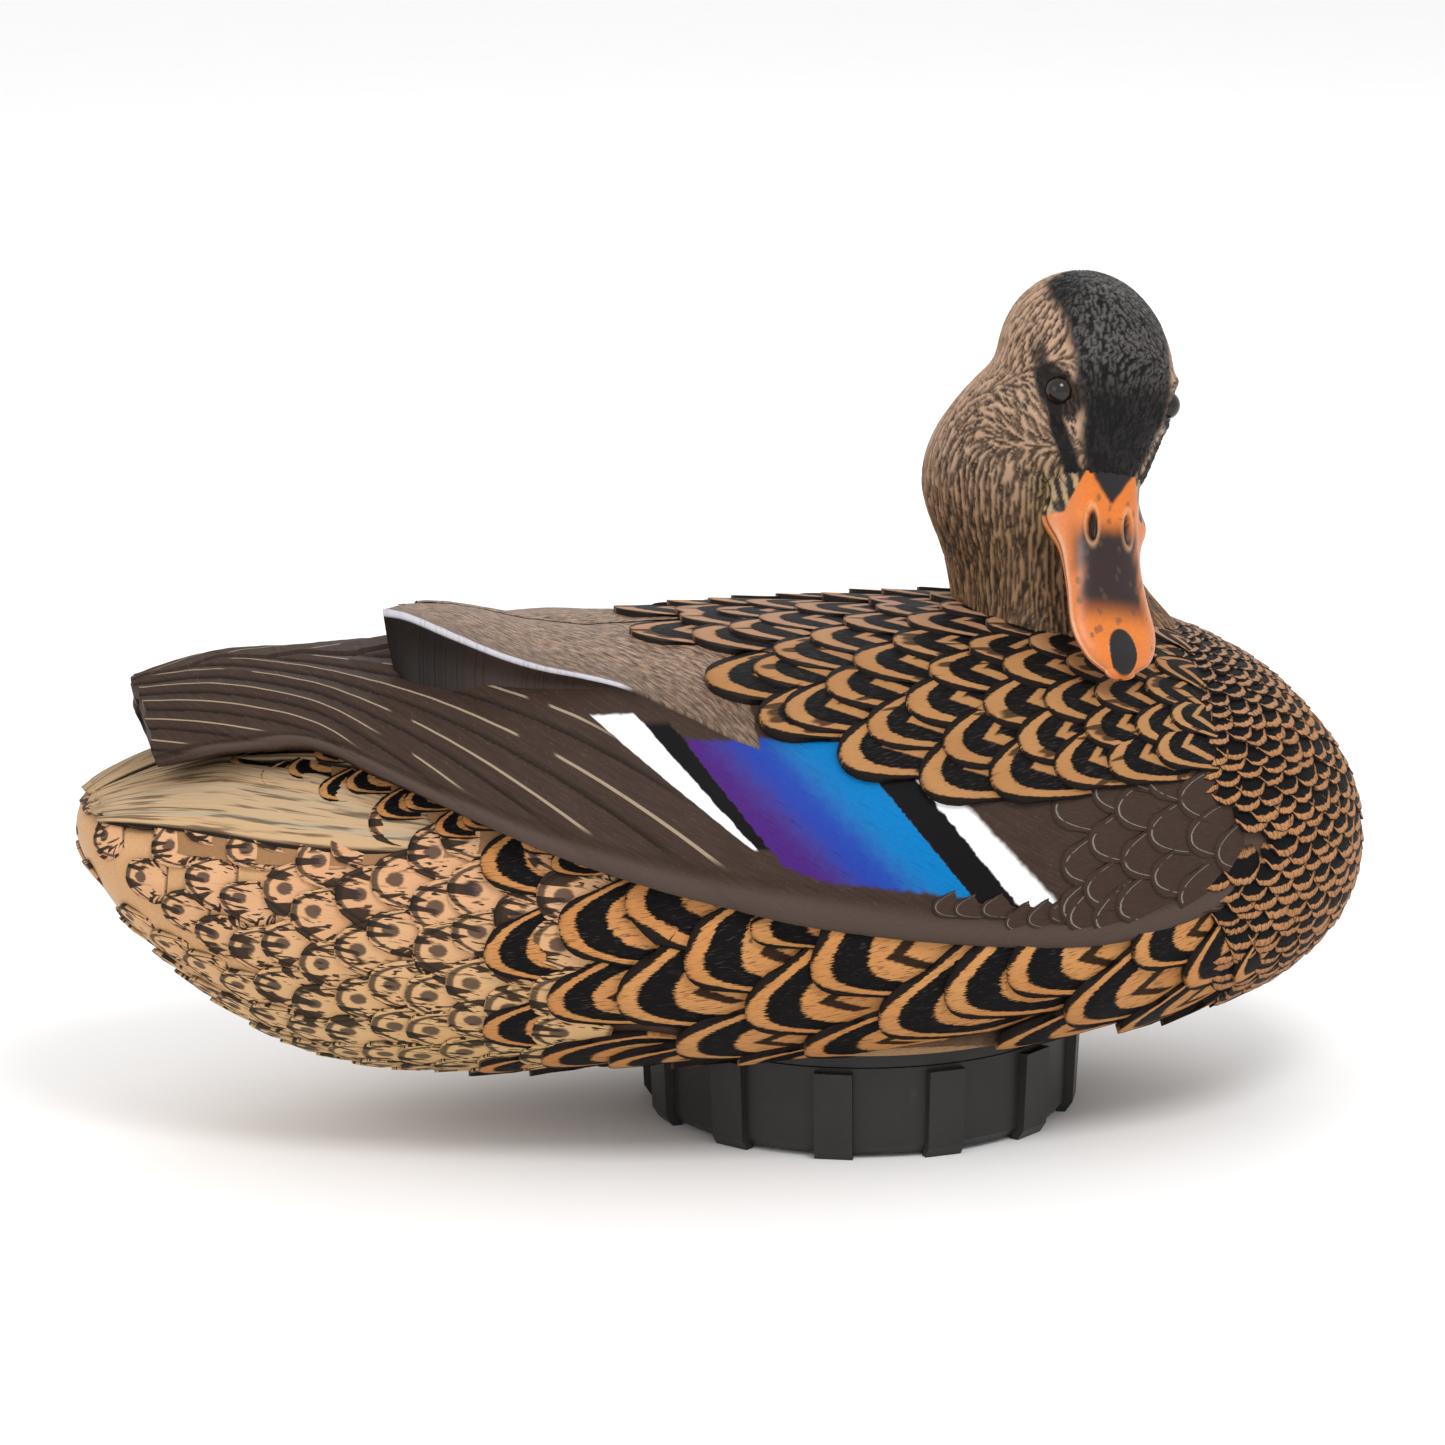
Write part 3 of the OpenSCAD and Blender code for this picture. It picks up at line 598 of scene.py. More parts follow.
def feathers(name, surface, p, q, ahead, length, width, material, rows=9, cols=9, lift=0.9, sink=0.9,
             curl=0.35, dome=0.5, zone=None, warm=None, mirror=False, squeeze=0.25, lead=None):
    """Overlapping feathers on a surface. (p, q) is each feather's tip centre, ahead the direction of its tip,
    and curl how far its corners fall back, as a share of its length. lead gives steps in p and q towards the tip."""
    n = len(p)
    p, q = np.asarray(p, float), np.asarray(q, float)
    length, width = np.broadcast_to(length, n), np.broadcast_to(width, n)
    zone = np.zeros(n) if zone is None else zone
    warm = rng.uniform(0, 1, n) if warm is None else warm
    tone = rng.uniform(0, 1, n)
    nrm, sp, sq = normals_of(surface, p, q)
    a = np.broadcast_to(ahead, (n, 3))
    a = a - (a * nrm).sum(-1, keepdims=True) * nrm
    a = a / np.maximum(np.linalg.norm(a, axis=-1, keepdims=True), 1e-9)
    b = np.cross(nrm, a)

    def into(v):
        """Steps in p and q that move by the unit vector v on the surface."""
        g11, g12, g22 = (sp * sp).sum(-1), (sp * sq).sum(-1), (sq * sq).sum(-1)
        h1, h2 = (sp * v).sum(-1), (sq * v).sum(-1)
        det = np.maximum(g11 * g22 - g12 * g12, 1e-9)
        return (g22 * h1 - g12 * h2) / det, (g11 * h2 - g12 * h1) / det

    pa, qa = into(a) if lead is None else lead
    pb, qb = into(b)
    fa = np.concatenate([np.linspace(0, 1, rows), [1.0]])
    fb = np.concatenate([[-1.0], np.linspace(-1, 1, cols), [1.0]])
    FA, FB = np.meshgrid(fa, fb, indexing="ij")
    skirt = np.zeros_like(FA)
    skirt[-1, :] = skirt[:, 0] = skirt[:, -1] = 1
    corner = curl * (1 - np.sqrt(np.maximum(1 - 0.985 * np.abs(FB) ** 2.2, 0)))
    taper = (1 - squeeze * FA ** 3) * (0.75 + 0.25 * np.minimum(FA * 2.5, 1))
    along = (FA - 1 - corner * FA)[None] * length[:, None, None]
    across = (FB * taper)[None] * width[:, None, None] / 2
    P = p[:, None, None] + along * pa[:, None, None] + across * pb[:, None, None]
    Q = q[:, None, None] + along * qa[:, None, None] + across * qb[:, None, None]
    base = surface(P, Q)
    N, _, _ = normals_of(surface, P, Q)
    jitter = rng.uniform(-0.15, 0.15, n)[:, None, None] * lift
    up = -sink + (lift + sink) * FA ** 1.3 + dome * (1 - np.abs(FB) ** 2) * np.minimum(FA * 2, 1)
    up = up[None] + jitter * FA[None]
    up = up - skirt[None] * (lift * 1.5 + 0.5)
    pts = base + N * up[..., None]
    r, c = FA.shape
    # the sunken rim and the covered base, which the feathers' materials darken as painted shade
    rim_shade = np.maximum(skirt, step(0.12, 0.0, FA))
    f = grid_faces(r, c, flip=True)
    faces = (f[None] + (np.arange(n) * r * c)[:, None, None]).reshape(-1, 4)
    each = {"tone": tone, "zone": zone, "warm": warm, "fl": length, "fw": width * 0.5}
    values = {"fa": FA, "fb": FB, "skirt": rim_shade, **{key: v[:, None, None] for key, v in each.items()}}
    attrs = {key: (v * np.ones((n, r, c))).ravel() for key, v in values.items()}
    pts = pts.reshape(-1, 3)
    if mirror:
        other = pts * [1, -1, 1]
        faces = np.concatenate([faces, faces[:, ::-1] + len(pts)])
        pts = np.concatenate([pts, other])
        attrs = {k: np.concatenate([v, v]) for k, v in attrs.items()}
    return make(name, pts, faces, material, attrs=attrs)


# breast and shoulders: the body's surface seen from the middle of the neck's root, so that rows ring it
CENTRE = np.array([57.0, 0.0, 82.0])


def inside_body(v):
    """Whether points lie in the body, short of its two ends."""
    top, low, half, mid, n_top, n_low = at_place(BODY_FINE, v[..., 0])
    n = np.where(v[..., 2] >= mid, n_top, n_low)
    reach = np.maximum(np.where(v[..., 2] >= mid, top - mid, mid - low), 0.5)
    value = (np.abs(v[..., 1]) / np.maximum(half, 0.5)) ** n + (np.abs(v[..., 2] - mid) / reach) ** n
    return (value < 1) & (v[..., 0] < 154) & (v[..., 0] > -238)


def radial(turn, tilt):
    """Body surface along a ray from the neck's root. tilt 0 is straight up and turn 0 is +X."""
    a, t = np.radians(turn), np.radians(tilt)
    d = np.stack([np.sin(t) * np.cos(a), np.sin(t) * np.sin(a), np.cos(t)], -1)
    lo, hi = np.zeros(d.shape[:-1]), np.full(d.shape[:-1], 320.0)
    for _ in range(22):
        mid = (lo + hi) / 2
        ok = inside_body(CENTRE + d * mid[..., None])
        lo, hi = np.where(ok, mid, lo), np.where(ok, hi, mid)
    return CENTRE + d * lo[..., None]


def breast():
    """Small crescent scales in rings round the neck's root, over the breast and the shoulders."""
    p, q, scale = [], [], []
    tilt = 27.0
    row = 0
    while tilt < 150:
        ring = radial(np.arange(0, 360, 3.0), np.full(120, tilt))
        dist = np.linalg.norm(np.diff(np.vstack([ring, ring[:1]]), axis=0), axis=1)
        around = np.concatenate([[0], np.cumsum(dist)])
        grow = np.clip((tilt - 27) / 40, 0, 1)
        w = 7.2 + 3.0 * grow
        count = int(around[-1] / w)
        places = (np.arange(count) + 0.5 * (row % 2)) / count * around[-1]
        turn = np.interp(places, around, np.arange(0, 363, 3.0))
        p.append(turn + rng.uniform(-1, 1, count) * 1.0)
        q.append(tilt + rng.uniform(-0.8, 0.8, count))
        scale.append(w * rng.uniform(0.92, 1.12, count))
        here = radial(np.array([0.0]), np.array([tilt]))[0]
        tilt += np.degrees((3.6 + 1.0 * grow) / max(np.linalg.norm(here - CENTRE), 40)) * 0.98
        row += 1
    p, q, w = np.concatenate(p), np.concatenate(q), np.concatenate(scale)
    at = radial(p, q)
    # keep the breast and the front of the shoulders; the wing and the flank take over further back
    edge = 96 + 10 * noise(at / 30, 1)
    side = np.abs(at[:, 1])
    keep = (at[:, 0] > edge - 34 * step(70, 125, at[:, 2]))
    on_wing = (at[:, 2] > 82) & (at[:, 2] < np.minimum(bend_line(at[:, 0]) + 2, 140))
    keep &= ~((at[:, 0] < 113) & (side > 46) & on_wing)
    keep |= (at[:, 0] > 60) & (side < 44) & (at[:, 2] > 128)
    keep &= at[:, 2] > 28
    p, q, w = p[keep], q[keep], w[keep]
    at = at[keep]
    away = at - np.array([60.0, 0, 150])
    away[:, 0] *= 0.75
    away[:, 2] -= 12
    drop = step(92, 62, at[:, 0])[:, None]
    away = away * (1 - drop) + drop * np.array([-60.0, 0, -30])
    zone = np.clip(1 - (150 - at[:, 2]) / 34, 0, 1)
    return feathers("breast_feathers", radial, p, q, away, w * 1.02, w * 1.32, breast_material(),
                    rows=6, cols=7, lift=1.0, sink=0.8, curl=0.42, dome=0.5, zone=zone,
                    warm=np.clip(0.6 + 0.5 * noise(at / 25, 2), 0, 1), squeeze=0.1)


def rows_on(surface, places, width):
    """Tips width mm apart in staggered rows: places is a list of (p, first q, last q), one for each row."""
    out = []
    for k, (p0, q0, q1) in enumerate(places):
        q = np.linspace(q0, q1, 60)
        line = surface(np.full(60, p0), q)
        run = np.concatenate([[0], np.cumsum(np.linalg.norm(np.diff(line, axis=0), axis=1))])
        count = max(int(run[-1] / width), 1)
        at = (np.arange(count) + 0.5 * (k % 2) + 0.25) / count * run[-1]
        out.append(np.stack([np.full(count, p0), np.interp(at, run, q)], 1))
    return np.concatenate(out)


def flank():
    """Large banded feathers in rows under the wing, from its front to the thigh."""
    pts = []
    for x in np.arange(103.0, -130, -19.0):
        low = 180 - wing_low(np.array([x]))[0]
        pts.append((x, low - 5 + 22 * (x > 90), 268))
    pq = rows_on(body, pts, 24.5)
    p = pq[:, 0] + rng.uniform(-1.8, 1.8, len(pq))
    q = pq[:, 1] + rng.uniform(-1.2, 1.2, len(pq))
    at = body(p, q)
    r = np.hypot(at[:, 0], at[:, 1])
    keep = (r > BELLY_R + 4) | (at[:, 2] > 45)
    p, q, at = p[keep], q[keep], at[keep]
    order = np.argsort(p)
    p, q, at = p[order], q[order], at[order]
    ahead = np.stack([np.full(len(p), -1.0), np.zeros(len(p)), -0.12 - 0.25 * step(60, 95, at[:, 0])], -1)
    long = np.interp(p, [-130, -80, 60, 103], [36, 48, 46, 32]) * rng.uniform(0.92, 1.08, len(p))
    return feathers("flank_feathers", body, p, q, ahead, long, long * 0.66, flank_material(), rows=15, cols=15,
                    lift=1.4, sink=2.0, curl=0.34, dome=1.0, mirror=True, squeeze=0.3)


def rump():
    """Spotted feathers of the rump and under the tail."""
    pts = []
    x = -112.0
    while x > -237:
        start = np.interp(x, [-237, -231, -215, -181, -144, -112], [90, 97, 119, 133, 145, 154])
        pts.append((x, start, 268))
        x -= np.interp(x, [-236, -112], [8.5, 12.0])
    pq = rows_on(mound, pts, 14.0)
    p = pq[:, 0] + rng.uniform(-1.5, 1.5, len(pq))
    q = pq[:, 1] + rng.uniform(-1.2, 1.2, len(pq))
    at = mound(p, q)
    ahead = np.stack([np.full(len(p), -1.0), np.zeros(len(p)), np.full(len(p), 0.12)], -1)
    size = np.interp(p, [-236, -180, -112], [10, 14.5, 17.5])
    warm = np.clip((95 - at[:, 2]) / 60, 0, 1)
    return feathers("rump_feathers", mound, p, q, ahead, size * 1.35, size * 1.12, rump_material(), rows=9, cols=9,
                    lift=0.55, sink=0.9, curl=0.40, dome=0.35, mirror=True, warm=warm, squeeze=0.12)


def mound(x, angle):
    """Top of the body under the wing tips, raised where the tail's small feathers lie."""
    out = body(x, angle)
    rise = np.interp(x, [-236, -216, -196, -172, -150, -128, -112], [0, 6, 11, 11, 9, 4, 0])
    out[..., 2] += rise * step(156, 112, angle)
    return out


def tail():
    """Long narrow feathers on top of the tail and the small chevrons in front of them."""
    tip = np.concatenate([np.full(4, 92.5), np.linspace(94, 132, 12)])
    base = np.concatenate([np.linspace(96, 134, 4), np.linspace(146, 152, 12)])
    n = len(tip)
    p = -234.0 + 4 * rng.uniform(0, 1, n)
    a = feathers("tail_feathers", mound, p, tip, np.array([-1.0, 0.0, 0.0]), np.full(n, 98.0), np.full(n, 4.2),
                 tail_material(), rows=30, cols=7, lift=1.0, sink=0.2, curl=0.06, dome=1.4, mirror=True,
                 squeeze=0.35, lead=(np.full(n, -1.0), (tip - base) / 98.0))
    X, A = np.meshgrid(np.linspace(-218, -112, 50), np.linspace(90, 158, 30), indexing="ij")
    pts = mound(X, A).reshape(-1, 3)
    f = grid_faces(50, 30)
    make("tail_mound", np.concatenate([pts, pts * [1, -1, 1]]), np.concatenate([f, f[:, ::-1] + len(pts)]),
         painted_material("mound_paint", 0.5),
         attrs={"paint": np.tile([0.40, 0.21, 0.095], (2 * len(pts), 1))})
    pts = [(x, 96, np.interp(x, [-194, -165, -140, -112], [124, 138, 151, 166]))
           for x in np.arange(-194.0, -104, 8.0)]
    pq = rows_on(mound, pts, 10.5)
    b = feathers("tail_chevrons", mound, pq[:, 0], pq[:, 1], np.array([-1.0, 0, -0.2]), 19.0, 12.5, flank_material(),
                 rows=9, cols=9, lift=1.2, sink=0.9, curl=0.4, dome=0.6, mirror=True)
    return a, b


def scapulars():
    """Banded feathers over the back and the top of the wing, on both sides."""
    # rows of tips from the lowest, which overlaps the coloured patch, up to the middle of the back
    first = np.array([-43.0, -20, 2, 23, 43, 60, 75])
    other = np.array([-56.0, -33, -10, 12, 33, 52, 68, 82])
    rows = [(first, [47, 35, 29, 27, 30, 31, 33]), (other, [60, 48, 41, 37, 37, 39, 40, 42]),
            (first, [63, 54, 49, 47, 48, 50, 52]), (np.append(-72, other), [82, 78, 69, 63, 59, 58, 59, 60, 61]),
            (first, [80, 73, 69, 67, 67, 68, 69]), (other, [88, 85, 81, 78, 76, 76, 76, 76]),
            (first[:6], [91, 89, 87, 86, 86, 86])]
    P = np.concatenate([r[0] for r in rows])
    Q = np.concatenate([np.asarray(r[1], float) for r in rows])
    P, Q = P + rng.uniform(-2, 2, len(P)), Q + rng.uniform(-1, 1, len(P))
    ahead = np.stack([np.full(len(P), -1.0), np.zeros(len(P)), -0.38 + 0.3 * step(40, 80, Q)], -1)
    zone = np.clip((Q - 62) / 25, 0, 1) * 0.8
    size = np.interp(P, [-60, 40, 84], [44, 40, 24]) * rng.uniform(0.95, 1.1, len(P))
    return feathers("scapular_feathers", wing, P, Q, ahead, size, size * 0.66, scapular_material(), rows=15,
                    cols=15, lift=1.9, sink=0.9, curl=0.42, dome=1.3, mirror=True, zone=zone, squeeze=0.25)


def coverts():
    """Plain brown feathers with pale edges at the bend of the wing."""
    P, Q = [], []
    for k, x in enumerate(np.arange(42, 112, 10.0)):
        lo = wing_low(np.array([x]))[0]
        top = np.interp(x, [44, 80, 108], [34, 52, 62])
        qs = np.arange(lo + 7 + (5 if k % 2 else 0), top, 11.0)
        P += list(np.full(len(qs), x) + rng.uniform(-2, 2, len(qs)))
        Q += list(qs + rng.uniform(-1.5, 1.5, len(qs)))
    edge = np.arange(4.0, 56, 7.0)
    P += list(edge + rng.uniform(-1.5, 1.5, len(edge)))
    Q += list(wing_low(edge) + rng.uniform(5.5, 8.0, len(edge)))
    P, Q = np.array(P), np.array(Q)
    size = np.where(P < 40, 12.0, 24.0)
    z = wing(P, Q)[:, 2]
    keep = (P < 57) & (Q < wing_low(P) + 9) | (P > 40 + (84 - z) * 0.35) & (z < bend_line(P) - 1)
    P, Q, size = P[keep], Q[keep], size[keep]
    ahead = np.stack([np.full(len(P), -1.0), np.zeros(len(P)), np.full(len(P), -0.15)], -1)
    return feathers("covert_feathers", wing, P, Q, ahead, size, size * 0.8, covert_material(), rows=11, cols=11,
                    lift=0.4, sink=0.4, curl=0.4, dome=0.2, mirror=True)


# ---------------------------------------------------------------- body, wings


def skin():
    """The body under its feathers, with the seat for the pod cut into its underside."""
    xs = np.concatenate([np.linspace(-239, -228, 12), np.linspace(-226, 136, 182), np.linspace(138, 154.5, 16)])
    angs = np.linspace(0, 360, 180, endpoint=False)
    X, A = np.meshgrid(xs, angs, indexing="ij")
    pts = body(X, A)
    r = np.hypot(pts[..., 0], pts[..., 1])
    hole = ((pts[..., 2] < 60) & (r < BELLY_R)).ravel()
    flat = pts.reshape(-1, 3).copy()
    f = grid_faces(len(xs), len(angs), wrap=True, flip=True)
    inside = hole[f]
    gone = inside.all(1)
    # the hole's edge points move out onto the seat's circle
    part = inside.any(1) & ~gone
    edge = np.unique(f[part][inside[part]])
    rr = np.hypot(flat[edge, 0], flat[edge, 1])
    flat[edge, :2] *= (BELLY_R / rr)[:, None]
    f = f[~gone]
    deep = -0.9 - 1.6 * step(-140, -122, flat[:, 0]) * step(104, 92, flat[:, 0])
    N, _, _ = normals_of(body, X, A)
    N = N.reshape(-1, 3)
    out = flat + N * deep[:, None] * (~hole)[:, None]
    x, z = out[:, 0], out[:, 2]
    paint = over([0.07, 0.04, 0.025], [0.45, 0.26, 0.12], step(40, 27, z))
    tail_paint = over([0.74, 0.42, 0.20], [0.2, 0.12, 0.07], step(100, 125, z))
    paint = over(paint, tail_paint, step(-100, -130, x))
    paint = over(paint, [0.10, 0.06, 0.04], step(60, 110, x))
    o = make("body_skin", out, f, painted_material("skin_paint", 0.45), attrs={"paint": paint})
    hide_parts("shell_right", "shell_left")
    # seat for the pod: a wall and a flat ring
    turns = np.linspace(0, 2 * math.pi, 120, endpoint=False)
    section = [(BELLY_R, 42.0), (BELLY_R, BELLY_Z + 0.4), (BELLY_R - 0.4, BELLY_Z), (OPENING_R, BELLY_Z),
               (OPENING_R, BELLY_Z + 3)]
    ring = []
    for a in turns:
        c, s = math.cos(a), math.sin(a)
        _, low, half, mid, _, nl = [float(v) for v in at_place(BODY_FINE, BELLY_R * c)]
        yy = min(abs(BELLY_R * s) / half, 0.999)
        wall_z = mid - (mid - low) * (1 - yy ** nl) ** (1 / nl)
        ring.append([(r_ * c, r_ * s, z_ if i else min(wall_z, 60)) for i, (r_, z_) in enumerate(section)])
    ring = np.array(ring)
    f = grid_faces(len(turns), len(section), flip=True)
    last = (len(turns) - 1) * len(section)
    closing = [[last + j, last + j + 1, j + 1, j] for j in range(len(section) - 1)]
    ring = ring.reshape(-1, 3)
    make("pod_seat", ring, np.concatenate([f, np.array(closing)]), painted_material("seat_paint", 0.5),
         attrs={"paint": np.tile([0.45, 0.27, 0.13], (len(ring), 1))}, smooth_shaded=False)


def across_wings(name, edge, axis, depth, size, seed, material, flip=False):
    """Slightly rough sheet from an edge of the right wing to the same edge of the left one."""
    n = 60
    w = np.linspace(0, 1, n)[None, :, None]
    sheet = edge[:, None] * (1 - w) + edge[:, None] * [1, -1, 1] * w
    sheet[..., axis] += depth * noise(sheet / size, seed)
    none = np.zeros(len(edge) * n)
    attrs = {"wx": sheet[..., 0].ravel(), "wz": sheet[..., 2].ravel(), "wv": none, "shaft": none, "lip": none}
    make(name, sheet.reshape(-1, 3), grid_faces(len(edge), n, flip=flip), material, attrs=attrs)


def wings():
    """Dense folded wings with stepped tips, raised feather edges and a rolled lower lip."""
    nx, na = 330, 96
    x = WING[0, 0] + (WING[-1, 0] - WING[0, 0]) * np.linspace(0, 1, nx)
    X, T = np.meshgrid(x, np.linspace(0, 1, na), indexing="ij")
    low = wing_low(x)[:, None]
    A = low + (WING_TOP - low) * T
    # long feathers that slant from the lower edge up to the tips
    fan = (T + 0.0055 * (X + 47) - 0.00002 * np.minimum(X + 110, 0) ** 2) * 4.9 + 0.2
    strip = fan - np.floor(fan)
    long_part = step(2, -5, past(WHITE_REAR, X, wing(X, A)[..., 2]))
    ridge = (1 - np.abs(strip - 0.42) / 0.58) ** 1.3 * 1.3 * long_part - 0.8 * step(0.10, 0.0, strip) * long_part
    grain = 0.25 * noise(np.stack([X / 9, A / 3, 0 * X], -1), 4)
    lip = step(0.075, 0.045, T)
    bump = ridge + grain * (1 - lip) + 0.8 * lip * np.sin(np.pi * np.clip(T / 0.06, 0, 1))
    bump = bump - 0.6 * step(0.02, 0.0, T) - 0.9 * np.exp(-((T - 0.078) / 0.010) ** 2)
    base = wing(X, A)
    N, _, _ = normals_of(wing, X, A)
    bump = bump - 6.0 * step(-1.0, 4.0, base[..., 2] - bend_line(X)) * step(66, 76, X)
    top = base + N * bump[..., None]
    # stepped free ends
    pull = step(-200, -221, X) * (3.2 * (1 - T) + 2.6 * np.abs(((T * 3.5) % 1) - 0.5))
    top[..., 0] += pull
    inner = top - N * WING_THICK
    # outer sheet, then the inner one, joined round the rim
    rows, cols = X.shape
    ring = np.concatenate([top, inner[:, ::-1]], 1)
    f = grid_faces(rows, 2 * cols, wrap=True)
    pts = ring.reshape(-1, 3)
    c2 = 2 * cols
    cap = np.array([[j, j + 1, c2 - 2 - j, c2 - 1 - j] for j in range(cols - 1)])
    f = np.concatenate([f, cap, cap[:, ::-1] + (rows - 1) * c2])

    def both(outer, inside):
        return np.concatenate([outer, inside[:, ::-1]], 1).ravel()

    shaft = long_part * step(0.10, 0.13, T) * (T < 0.97)
    attrs = {"wx": both(X, X), "wz": both(top[..., 2], top[..., 2]), "wv": both(fan, fan),
             "shaft": both(shaft, shaft * 0), "lip": both(lip * step(-216, -200, X), lip * 0)}
    mat = wing_material()
    make("wing_right", pts, f, mat, attrs=attrs)
    make("wing_left", pts * [1, -1, 1], f[:, ::-1], mat, attrs=attrs)
    # blunt end across both wings' tips, and the shaded floor between their lower edges
    across_wings("wing_end", top[0] + [1.6, 0, 0], 0, 1.2, 5, 51, mat)
    across_wings("wing_floor", inner[0:150:3, 4], 2, 0.6, 6, 52, mat, flip=True)


# outer edge of the raised feathers over the wing: place, distance from the middle, height
TERTIAL_EDGE = np.array([
    [-148.6, 24, 165], [-142, 31, 165], [-130, 39, 160.5], [-115, 44, 154.3], [-104, 46, 150.8],
    [-92, 46, 147.8], [-80, 48, 144.4], [-66, 56, 138.5], [-52, 65.5, 131.2], [-38, 71, 125]])


def wing_height(x, y):
    """Height of the wing's surface over a point of the plan."""
    top, half, mid, _ = at_place(WING_FINE, x)
    return mid + (top - mid) * np.maximum(1 - (np.abs(y) / half) ** WING_POWER, 0) ** (1 / WING_POWER)


def tertials():
    """A broad raised feather a side: barbed above, with a thin pale edge, and a wall under it in the wing's brown
    that darkens towards the tip as painted shade.
    """
    n, m, k = 130, 60, 18    # points along the edge, across the top, and down the wall
    t = np.linspace(0, 1, n)
    e = smooth(TERTIAL_EDGE, t * (len(TERTIAL_EDGE) - 1))
    x, y, z = e[:, 0:1], e[:, 1:2], e[:, 2:3]
    mid_z = np.interp(x, [-150, -137, -125, -117, -102, -81, -66, -38],
                      [162, 162.5, 162, 160, 156.3, 153.4, 153.0, 153.2])
    w = np.linspace(0, 1, m)[None]
    top_y = 0.6 + (y - 0.6) * w
    crown = 1.2 * np.sin(np.pi * w) * (1 - 0.5 * t[:, None]) - 1.2 * (1 - w) ** 6 + 0.5 * w ** 10
    top_z = mid_z + (z - mid_z) * w ** 2.0 + crown
    top_z = np.maximum(top_z, wing_height(x, top_y) + 1.1 * step(-38, -56, x) - 2.0 * step(-46, -38, x))
    tip = step(0.14, 0.0, t)[:, None]
    top_x = x + tip * (9.5 * (1 - w) + 2.0 * np.sin(np.pi * w))
    barb = noise(np.stack([top_x / 2.2 + top_y * 0.5, top_y / 6 - top_x / 14, 0 * top_z], -1), 61) * 0.22
    top = np.stack([top_x, -top_y, top_z + barb], -1)
    d = np.linspace(0, 1, k + 1)[None, 1:]
    foot_y = y * (1 - 0.10 * step(-60, -120, x)) + 1.0
    s_ang = np.degrees(np.arccos(np.clip((foot_y / np.interp(x, WING_FINE[:, 0], WING_FINE[:, 2])), 0, 1) ** 1.1))
    foot_z = wing(x, s_ang)[..., 2] - 1.5
    wall_y = y + (foot_y - y) * d - 3.2 * np.sin(np.pi * d) * step(-70, -110, x)
    wall_z = z - 0.4 + (foot_z - z) * d
    wall = np.stack([x + tip * 4 * d, -wall_y, wall_z], -1)
    sheet = np.concatenate([top, wall], 1)
    # close the tip down to the wing
    rows = []
    for j in np.linspace(0.08, 1, 14):
        r = sheet[0].copy()
        r[:, 2] = r[:, 2] * (1 - j) + np.minimum(r[:, 2], 138.0) * j
        r[:, 0] += 5.0 * np.sin(j * 1.7)
        r[:, 1] *= 1 - 0.12 * np.sin(j * 2.2)
        rows.append(r)
    sheet = np.concatenate([np.array(rows)[::-1], sheet], 0)
    extra = len(rows)
    v = np.tile(np.concatenate([w[0], np.ones(k)]), (len(sheet), 1))
    under = np.tile(np.concatenate([np.zeros(m), np.ones(k)]), (len(sheet), 1))
    under[:extra] = 1
    edge = np.zeros((len(sheet), m + k))
    edge[extra:, m - 2:m + 1] = [0.4, 1.0, 0.7]
    edge[extra:, m - 2:] *= (0.35 + 0.65 * step(1, 0.75, t))[:, None] * step(0.74, 0.62, t)[:, None]
    edge[extra, :m] = 0.6
    f = grid_faces(len(sheet), m + k)
    pts = sheet.reshape(-1, 3)
    attrs = {"wx": sheet[..., 0].ravel(), "wv": v.ravel(), "edge": edge.ravel(), "under": under.ravel()}
    attrs = {key: np.concatenate([v, v]) for key, v in attrs.items()}
    # the left feather's end lies flatter and a little forward, down to just above the wing
    other = pts * [1, -1, 1]
    other[:, 0] += 7.0 * step(-124, -146, other[:, 0])
    resting = wing_height(other[:, 0], other[:, 1]) + 0.8
    tuck = step(-66, -120, other[:, 0]) * step(0, 20, other[:, 1]) * 0.75
    other[:, 2] -= tuck * np.maximum(other[:, 2] - resting, 0)
    make("tertials", np.concatenate([pts, other]), np.concatenate([f, f[:, ::-1] + len(pts)]),
         tertial_material(), attrs=attrs)


# ---------------------------------------------------------------- head


def capped_loft(rings):
    """Mesh through closed rings, with a fan on each end."""
    rows, cols = rings.shape[:2]
    pts = np.vstack([rings.reshape(-1, 3), rings[0].mean(0), rings[-1].mean(0)])
    c = np.arange(cols)
    ahead = (c + 1) % cols
    last = (rows - 1) * cols
    fans = np.concatenate([np.stack([c, ahead, 0 * c + rows * cols], 1),
                           np.stack([last + ahead, last + c, 0 * c + rows * cols + 1], 1)])
    me = bpy.data.meshes.new("raw")
    me.from_pydata((pts / 1000).tolist(), [], grid_faces(rows, cols, wrap=True, flip=True).tolist() + fans.tolist())
    me.update()
    return me


